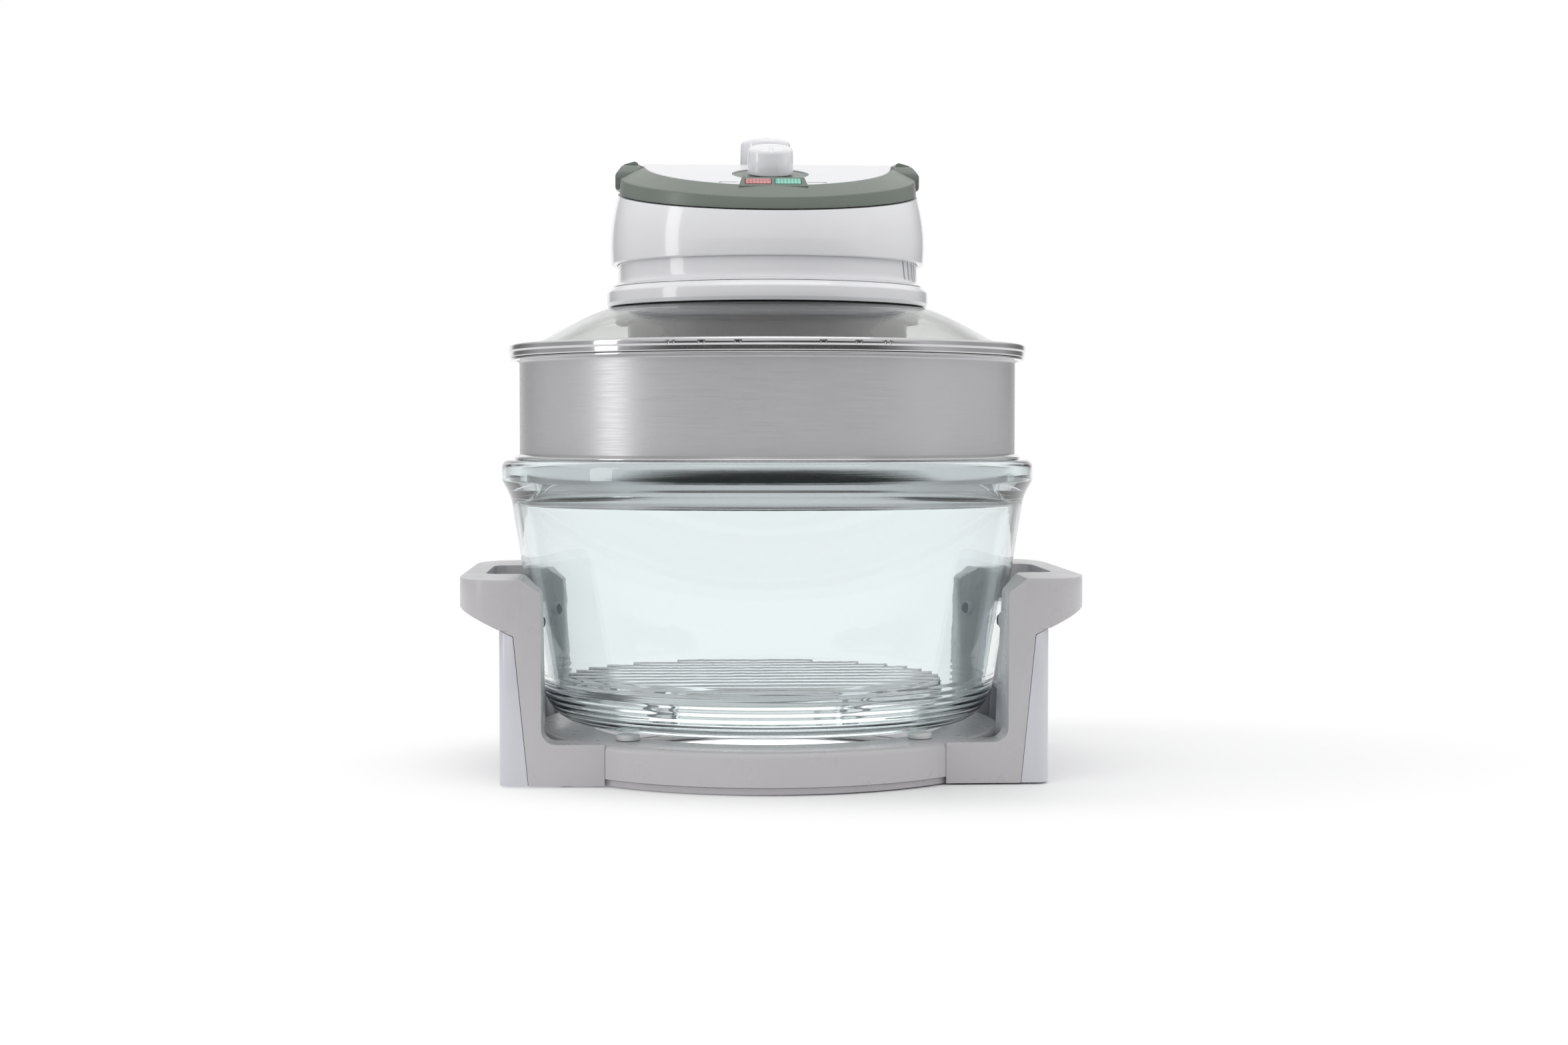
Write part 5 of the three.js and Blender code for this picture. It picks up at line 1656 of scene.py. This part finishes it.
    def housing(self) -> bpy.types.Object:
        """Turns the bulging upper housing, and cuts its front edge along the slope of the trim."""
        radius, top, lip = self.head_radius, self.housing_top, self.neck_top + self.clearance
        bottom, shell = self.neck_top - 1, self.shell
        start, end = (radius - 0.8, bottom + 0.7), (self.shoulder + 0.5, top - 2.2)
        outside = bezier(start, (radius + 0.3, bottom + 12), (radius + 0.2, bottom + 24), end, 24)
        inside = [(r - shell, z) for r, z in reversed(outside) if lip + 2 < z < top - shell]
        outline = [(self.neck_radius + 0.6, bottom), (start[0] - 0.6, bottom), start, *outside,
                   *bezier(end, (self.shoulder, top - 0.6), (self.shoulder - 0.4, top - 0.1),
                           (self.shoulder - 1.6, top), 5),
                   (self.panel_radius + 1, top), (self.panel_radius + 1, top - shell),
                   (self.shoulder - 3, top - shell),
                   *inside, (radius - shell, lip + 2), (self.neck_radius - 5, lip + 2),
                   (self.neck_radius - 5, lip),
                   (self.neck_radius + 0.6, lip)]
        housing = lathe("housing_moulding", outline, 192)
        level, reach = top - self.clearance, 200.0
        wedge = prism("front_cut", [(0, level), (-reach, level - self.housing_lean * reach),
                                    (-reach, level + reach),
                                    (0, level + reach)], Axis.X, -reach, reach)
        grommet_low, grommet_high = sized("cord_grommet")
        hole_z = (grommet_low.z + grommet_high.z) / 2
        hole = placed(lathe("cord_hole", [(0, -20), (5.8, -20), (5.8, 20), (0, 20)], 40),
                      tipped((0, radius, hole_z), "X"))
        plunger_low, plunger_high = sized("switch_plunger")
        plunger_y = (plunger_low.y + plunger_high.y) / 2
        well = lathe("plunger_hole", [(0, top - 6), (2.7, top - 6), (2.7, top + 6), (0, top + 6)], 32,
                     (0, plunger_y))
        return combine(housing, [wedge, hole, well])

    def grommet(self) -> bpy.types.Object:
        """Turns the empty grommet of the mains lead, at the back."""
        low, high = sized("cord_grommet")
        inner, outer, radius = low.y, high.y, (high.x - low.x) / 2
        flange = outer - 5 + 0.7
        piece = lathe("grommet_moulding", rounded([
            (3.2, -outer, 0.6), (radius - 1, -outer, 0.8), (radius, -flange, 0.5),
            (radius - 1.5, -flange + 0.2),
            (radius - 1.5, -inner, 0.4), (3.2, -inner)]), 48)
        return placed(piece, tipped((0, 0, (low.z + high.z) / 2), "X"))

    def leaned(self, piece: bpy.types.Object) -> bpy.types.Object:
        """Leans the front half of a turned piece: each point drops with its distance in front of the axis."""
        for vertex in piece.data.vertices:
            y, z = vertex.co.y / MM, vertex.co.z / MM
            if y < 0:
                lean = lean_amount(z, self.housing_top, self.panel_z, self.housing_lean, self.panel_lean)
                vertex.co.z += lean * y * MM
        piece.data.update()
        return piece

    def on_slope(self, y: float) -> Matrix:
        """Gives the place on the sloping front of the panel, in metres, at a distance along Y."""
        return (Matrix.Translation(Vector((0, y, self.panel_z + self.panel_lean * y)) * MM)
                @ Matrix.Rotation(math.atan(self.panel_lean), 4, "X"))

    def trim(self) -> bpy.types.Object:
        """Turns the grey front trim with its sloping facet, and adds the tab that carries the lenses."""
        base, ridge = self.housing_top + self.clearance, self.housing_top + self.trim_height
        top = self.panel_z
        trim = self.leaned(lathe("trim_moulding", rounded([
            (self.shoulder, base), (self.shoulder - 0.6, ridge, 1.6), (self.panel_radius + 0.5, top, 1.2),
            (self.panel_radius + 0.5, top - 3), (self.shoulder - 3.6, ridge - 2.4),
            (self.shoulder - 2.6, base)]), 192))
        foot, crest, reach = self.tab_foot, self.tab_crest, 200.0
        width = self.lens_width + self.tab_side
        tab = prism("tab", rounded([
            (self.tab_back, -self.tab_depth), (self.tab_back, crest[1] - 0.6, 0.6), (*crest, 0.8), foot,
            (foot[0], -self.tab_depth)]), Axis.X, -width, width)
        combine(tab, [self.tab_plan(0)], "INTERSECT")
        placed(tab, self.on_slope(self.tab_y))
        end = box_prism("trim_end", (-reach, self.trim_end, 0), (reach, reach, 2 * top))
        pockets = [self.lens_block(side, -self.lens_sink, 5, self.clearance) for side in (-1, 1)]
        combine(trim, [end])
        combine(trim, [tab], "UNION")
        combine(trim, pockets)
        return trim

    def tab_plan(self, grow: float) -> bpy.types.Object:
        """Makes the tab's plan, which narrows towards the panel, grown for the notch that it fills."""
        width, back, foot = self.lens_width + self.tab_side + grow, self.tab_back + grow, self.tab_foot[0]
        return prism("tab_plan", rounded([
            (-width, foot), (width, foot), (width - self.tab_taper, back, 1.5),
            (self.tab_taper - width, back, 1.5)]),
            Axis.Z, -2 * self.tab_depth, 2 * self.tab_crest[1])

    def lens_place(self) -> Matrix:
        """Gives the place of the lenses, on the steep face of the tab."""
        foot, crest = Vector(self.tab_foot), Vector(self.tab_crest)
        middle, tilt = (foot + crest) / 2, math.atan2(crest.y - foot.y, crest.x - foot.x)
        return (self.on_slope(self.tab_y) @ Matrix.Translation(Vector((0, *middle)) * MM)
                @ Matrix.Rotation(tilt, 4, "X"))

    def lens_block(self, side: int, low: float, high: float, grow: float) -> bpy.types.Object:
        """Makes the block of one lens or of its pocket."""
        x = side * (self.lens_width / 2 + 1.2)
        half, depth = self.lens_width / 2 + grow, self.lens_depth / 2 + grow
        outline = rounded([(x - half, -depth, 0.4), (x + half, -depth, 0.4),
                           (x + half, depth, 1.3), (x - half, depth, 1.3)])
        return placed(prism("lens_block", outline, Axis.Z, low, high), self.lens_place())

    def lens(self, side: int, name: str) -> bpy.types.Object:
        """Moulds one indicator lens with a crowned face."""
        piece = self.lens_block(side, self.clearance - self.lens_sink, 0.4, 0)
        piece.name = name
        return soften(piece, 0.4, 3)

    def lamp_mark(self, side: int, name: str) -> bpy.types.Object:
        """Prints a plain dash on the panel beside each lens."""
        x, y, half, thickness = side * 26.5, self.tab_y + 2.6, 5.5, 0.08
        mark = box_prism(name, (x - half, -0.5, 0.02), (x + half, 0.5, thickness), 0.4)
        return placed(mark, self.on_slope(y))

    def panel(self) -> bpy.types.Object:
        """Turns the white panel, leans its front half, and sinks the two dial recesses."""
        radius, top, skirt = self.panel_radius, self.panel_z, self.housing_top + 2
        rings = [(r, top) for r in (60, 45, 30, 15)]
        under = [(r, top - 3) for r in (15, 30, 45, 60)]
        panel = self.leaned(lathe("panel_moulding", [
            (0, top - 3), *under, *rounded([
                (70, top - 3), (radius - self.shell, top - 3, 1), (radius - self.shell, skirt),
                (radius, skirt),
                (radius, top, 1.3), (70, top)], closed=False), *rings, (0, top)], 192))
        cutters = [placed(self.tab_plan(self.clearance), self.on_slope(self.tab_y))]
        for dial in dials(self):
            for size, low, high in ((dial.radius + self.clearance, -self.knob_sink, 12), (3.9, -9, 12)):
                cutters.append(placed(lathe("recess", [(0, low), (size, low), (size, high), (0, high)], 96),
                                      dial.place))
        combine(panel, cutters)
        return panel


@dataclass
class Dial:
    """One dial with its knob: where it stands and its sizes, in millimetres."""

    name: str
    place: Matrix
    radius: float
    knob_node: str
    knob_radius: float
    knob_height: float
    sweep: float
    ticks: int
    clearance: float = 0.3
    sink: float = 1.6
    stem_radius: float = 3.0
    stem_depth: float = 9.0

    def build(self) -> None:
        """Builds the dial disc, its marks and its knob."""
        install(self.disc(), f"{self.name}_dial", Slot.GREY)
        install(self.marks(), f"{self.name}_dial", Slot.COVER, stands_for=False)
        install(self.knob(), self.knob_node, Slot.WHITE)

    def disc(self) -> bpy.types.Object:
        """Turns the sunken grey disc with a raised rim."""
        low, high = self.clearance - self.sink, -self.clearance
        radius, hole = self.radius, self.stem_radius + 0.6
        piece = lathe(f"{self.name}_dial_disc", rounded([
            (hole, low), (radius, low), (radius, high + 0.15, 0.2), (radius - 1, high + 0.15, 0.3),
            (radius - 1.5, high - 0.3, 0.2), (hole, high - 0.3)]), 96)
        return placed(piece, self.place)

    def marks(self) -> bpy.types.Object:
        """Prints the tick marks round the knob: every fourth one is longer."""
        bm = bmesh.new()
        inner = self.knob_radius + 1.6
        for i in range(self.ticks + 1):
            length = (self.radius - inner - 2) * (1 if i % 4 == 0 else 0.55)
            turn = Matrix.Rotation(math.radians(-90 - self.sweep * i / self.ticks), 4, "Z")
            corners = [(inner + x, y, z) for z in (-self.clearance - 0.32, -self.clearance - 0.18)
                       for x, y in ((0, -0.28), (length, -0.28), (length, 0.28), (0, 0.28))]
            verts = [bm.verts.new(turn @ (Vector(c) * MM)) for c in corners]
            for face in ((0, 1, 2, 3), (4, 5, 6, 7), (0, 1, 5, 4), (1, 2, 6, 5), (2, 3, 7, 6), (3, 0, 4, 7)):
                bm.faces.new([verts[k] for k in face])
        return placed(finish_mesh(bm, f"{self.name}_dial_marks"), self.place)

    def knob(self) -> bpy.types.Object:
        """Turns the knob with its soft crown, and cuts the pointer notch in its front."""
        radius, height = self.knob_radius, self.knob_height
        crown = bezier((radius - 0.4, height - 4.2), (radius - 0.5, height - 1.2),
                       (radius - 3.2, height - 0.5),
                       (radius - 7, height - 0.15), 10)
        knob = lathe(f"{self.knob_node}_moulding", [
            (0, -self.stem_depth), (self.stem_radius, -self.stem_depth), (self.stem_radius, self.clearance),
            (radius - 0.8, self.clearance), (radius - 0.1, self.clearance + 0.4), (radius, 1.4),
            (radius - 0.4, height - 4.2), *crown, (0, height)], 120)
        notch = lathe("notch", [(0, -5.6), (1.1, -4.7), (3.7, 2.5), (0, 2.5)], 32)
        placed(notch, Matrix.Translation(Vector((0, -radius + 1.2, height + 0.4)) * MM)
               @ Matrix.Rotation(math.radians(90), 4, "X"))
        combine(knob, [notch])
        return placed(soften(merged_planes(knob), 0.25, 2, 40), self.place)


def dials(head: Head) -> list[Dial]:
    """Gives the two dials of the head: the thermostat on the slope and the timer behind it."""
    front_y, rear_y = -(head.panel_radius - 39), head.panel_radius - 52
    rear_place = Matrix.Translation(Vector((0, rear_y, head.panel_z)) * MM)
    return [
        Dial("front", head.on_slope(front_y), 23, "thermostat_knob", 14, 17.5, 270, 24),
        Dial("rear", rear_place, 26.5, "timer_knob", 16.2, 18.7, 300, 24),
    ]


@dataclass
class CarryHandle:
    """The grey bail that folds round the back of the panel, in millimetres."""

    band: float = 14.0
    ear: float = 8.5
    pivot_y: float = 3.0
    clearance: float = 3.5
    stud_radius: float = 2.5
    stud_depth: float = 2.0

    def build(self) -> None:
        """Turns the band, keeps its back half and its round ears, and adds the pivot studs."""
        low, high = sized("carrying_handle")
        panel = sized("control_panel")[1].x
        inner = panel + self.clearance
        outer, bottom, top = inner + self.band, low.z, high.z
        pivot_z = bottom + 7
        band = lathe("bail_moulding", rounded([
            (inner, bottom, 1), (outer, bottom, 1.6), (outer, bottom + 9, 3), (outer - 5, top - 2, 3),
            (inner + 2, top, 1.2), (inner, top - 1, 1)]), 192)
        reach = 2 * outer
        keep = box_prism("behind", (-reach, self.pivot_y, 0), (reach, reach, 2 * top))
        ear = placed(lathe("ear", [(0, -reach), (self.ear, -reach), (self.ear, reach), (0, reach)], 64),
                     tipped((0, self.pivot_y, pivot_z), "Y"))
        combine(keep, [ear], "UNION")
        combine(band, [keep], "INTERSECT")
        soften(merged_planes(band), 0.9, 3, 40)
        studs = []
        for side in (-1, 1):
            start, end = sorted((side * (panel - self.stud_depth), side * (inner + 3)))
            studs.append(placed(lathe("stud", [(0, start), (self.stud_radius, start),
                                               (self.stud_radius, end), (0, end)], 32),
                                Matrix.Translation(Vector((0, self.pivot_y, pivot_z)) * MM)
                                @ Matrix.Rotation(math.pi / 2, 4, "Y")))
        combine(band, studs, "UNION")
        install(band, "carrying_handle", Slot.GREY)


# ---------------------------------------------------------------- the whole oven


def main() -> None:
    """Builds the studio and every part of the oven."""
    logging.basicConfig(level=logging.INFO, format="%(name)s: %(message)s")
    Studio().build()
    Stand().build()
    Bowl().build()
    Rack().build()
    ExtensionRing().build()
    Lid().build()
    Heater().build()
    head = Head()
    head.build()
    for dial in dials(head):
        dial.build()
    CarryHandle().build()


if __name__ == "__main__":
    main()
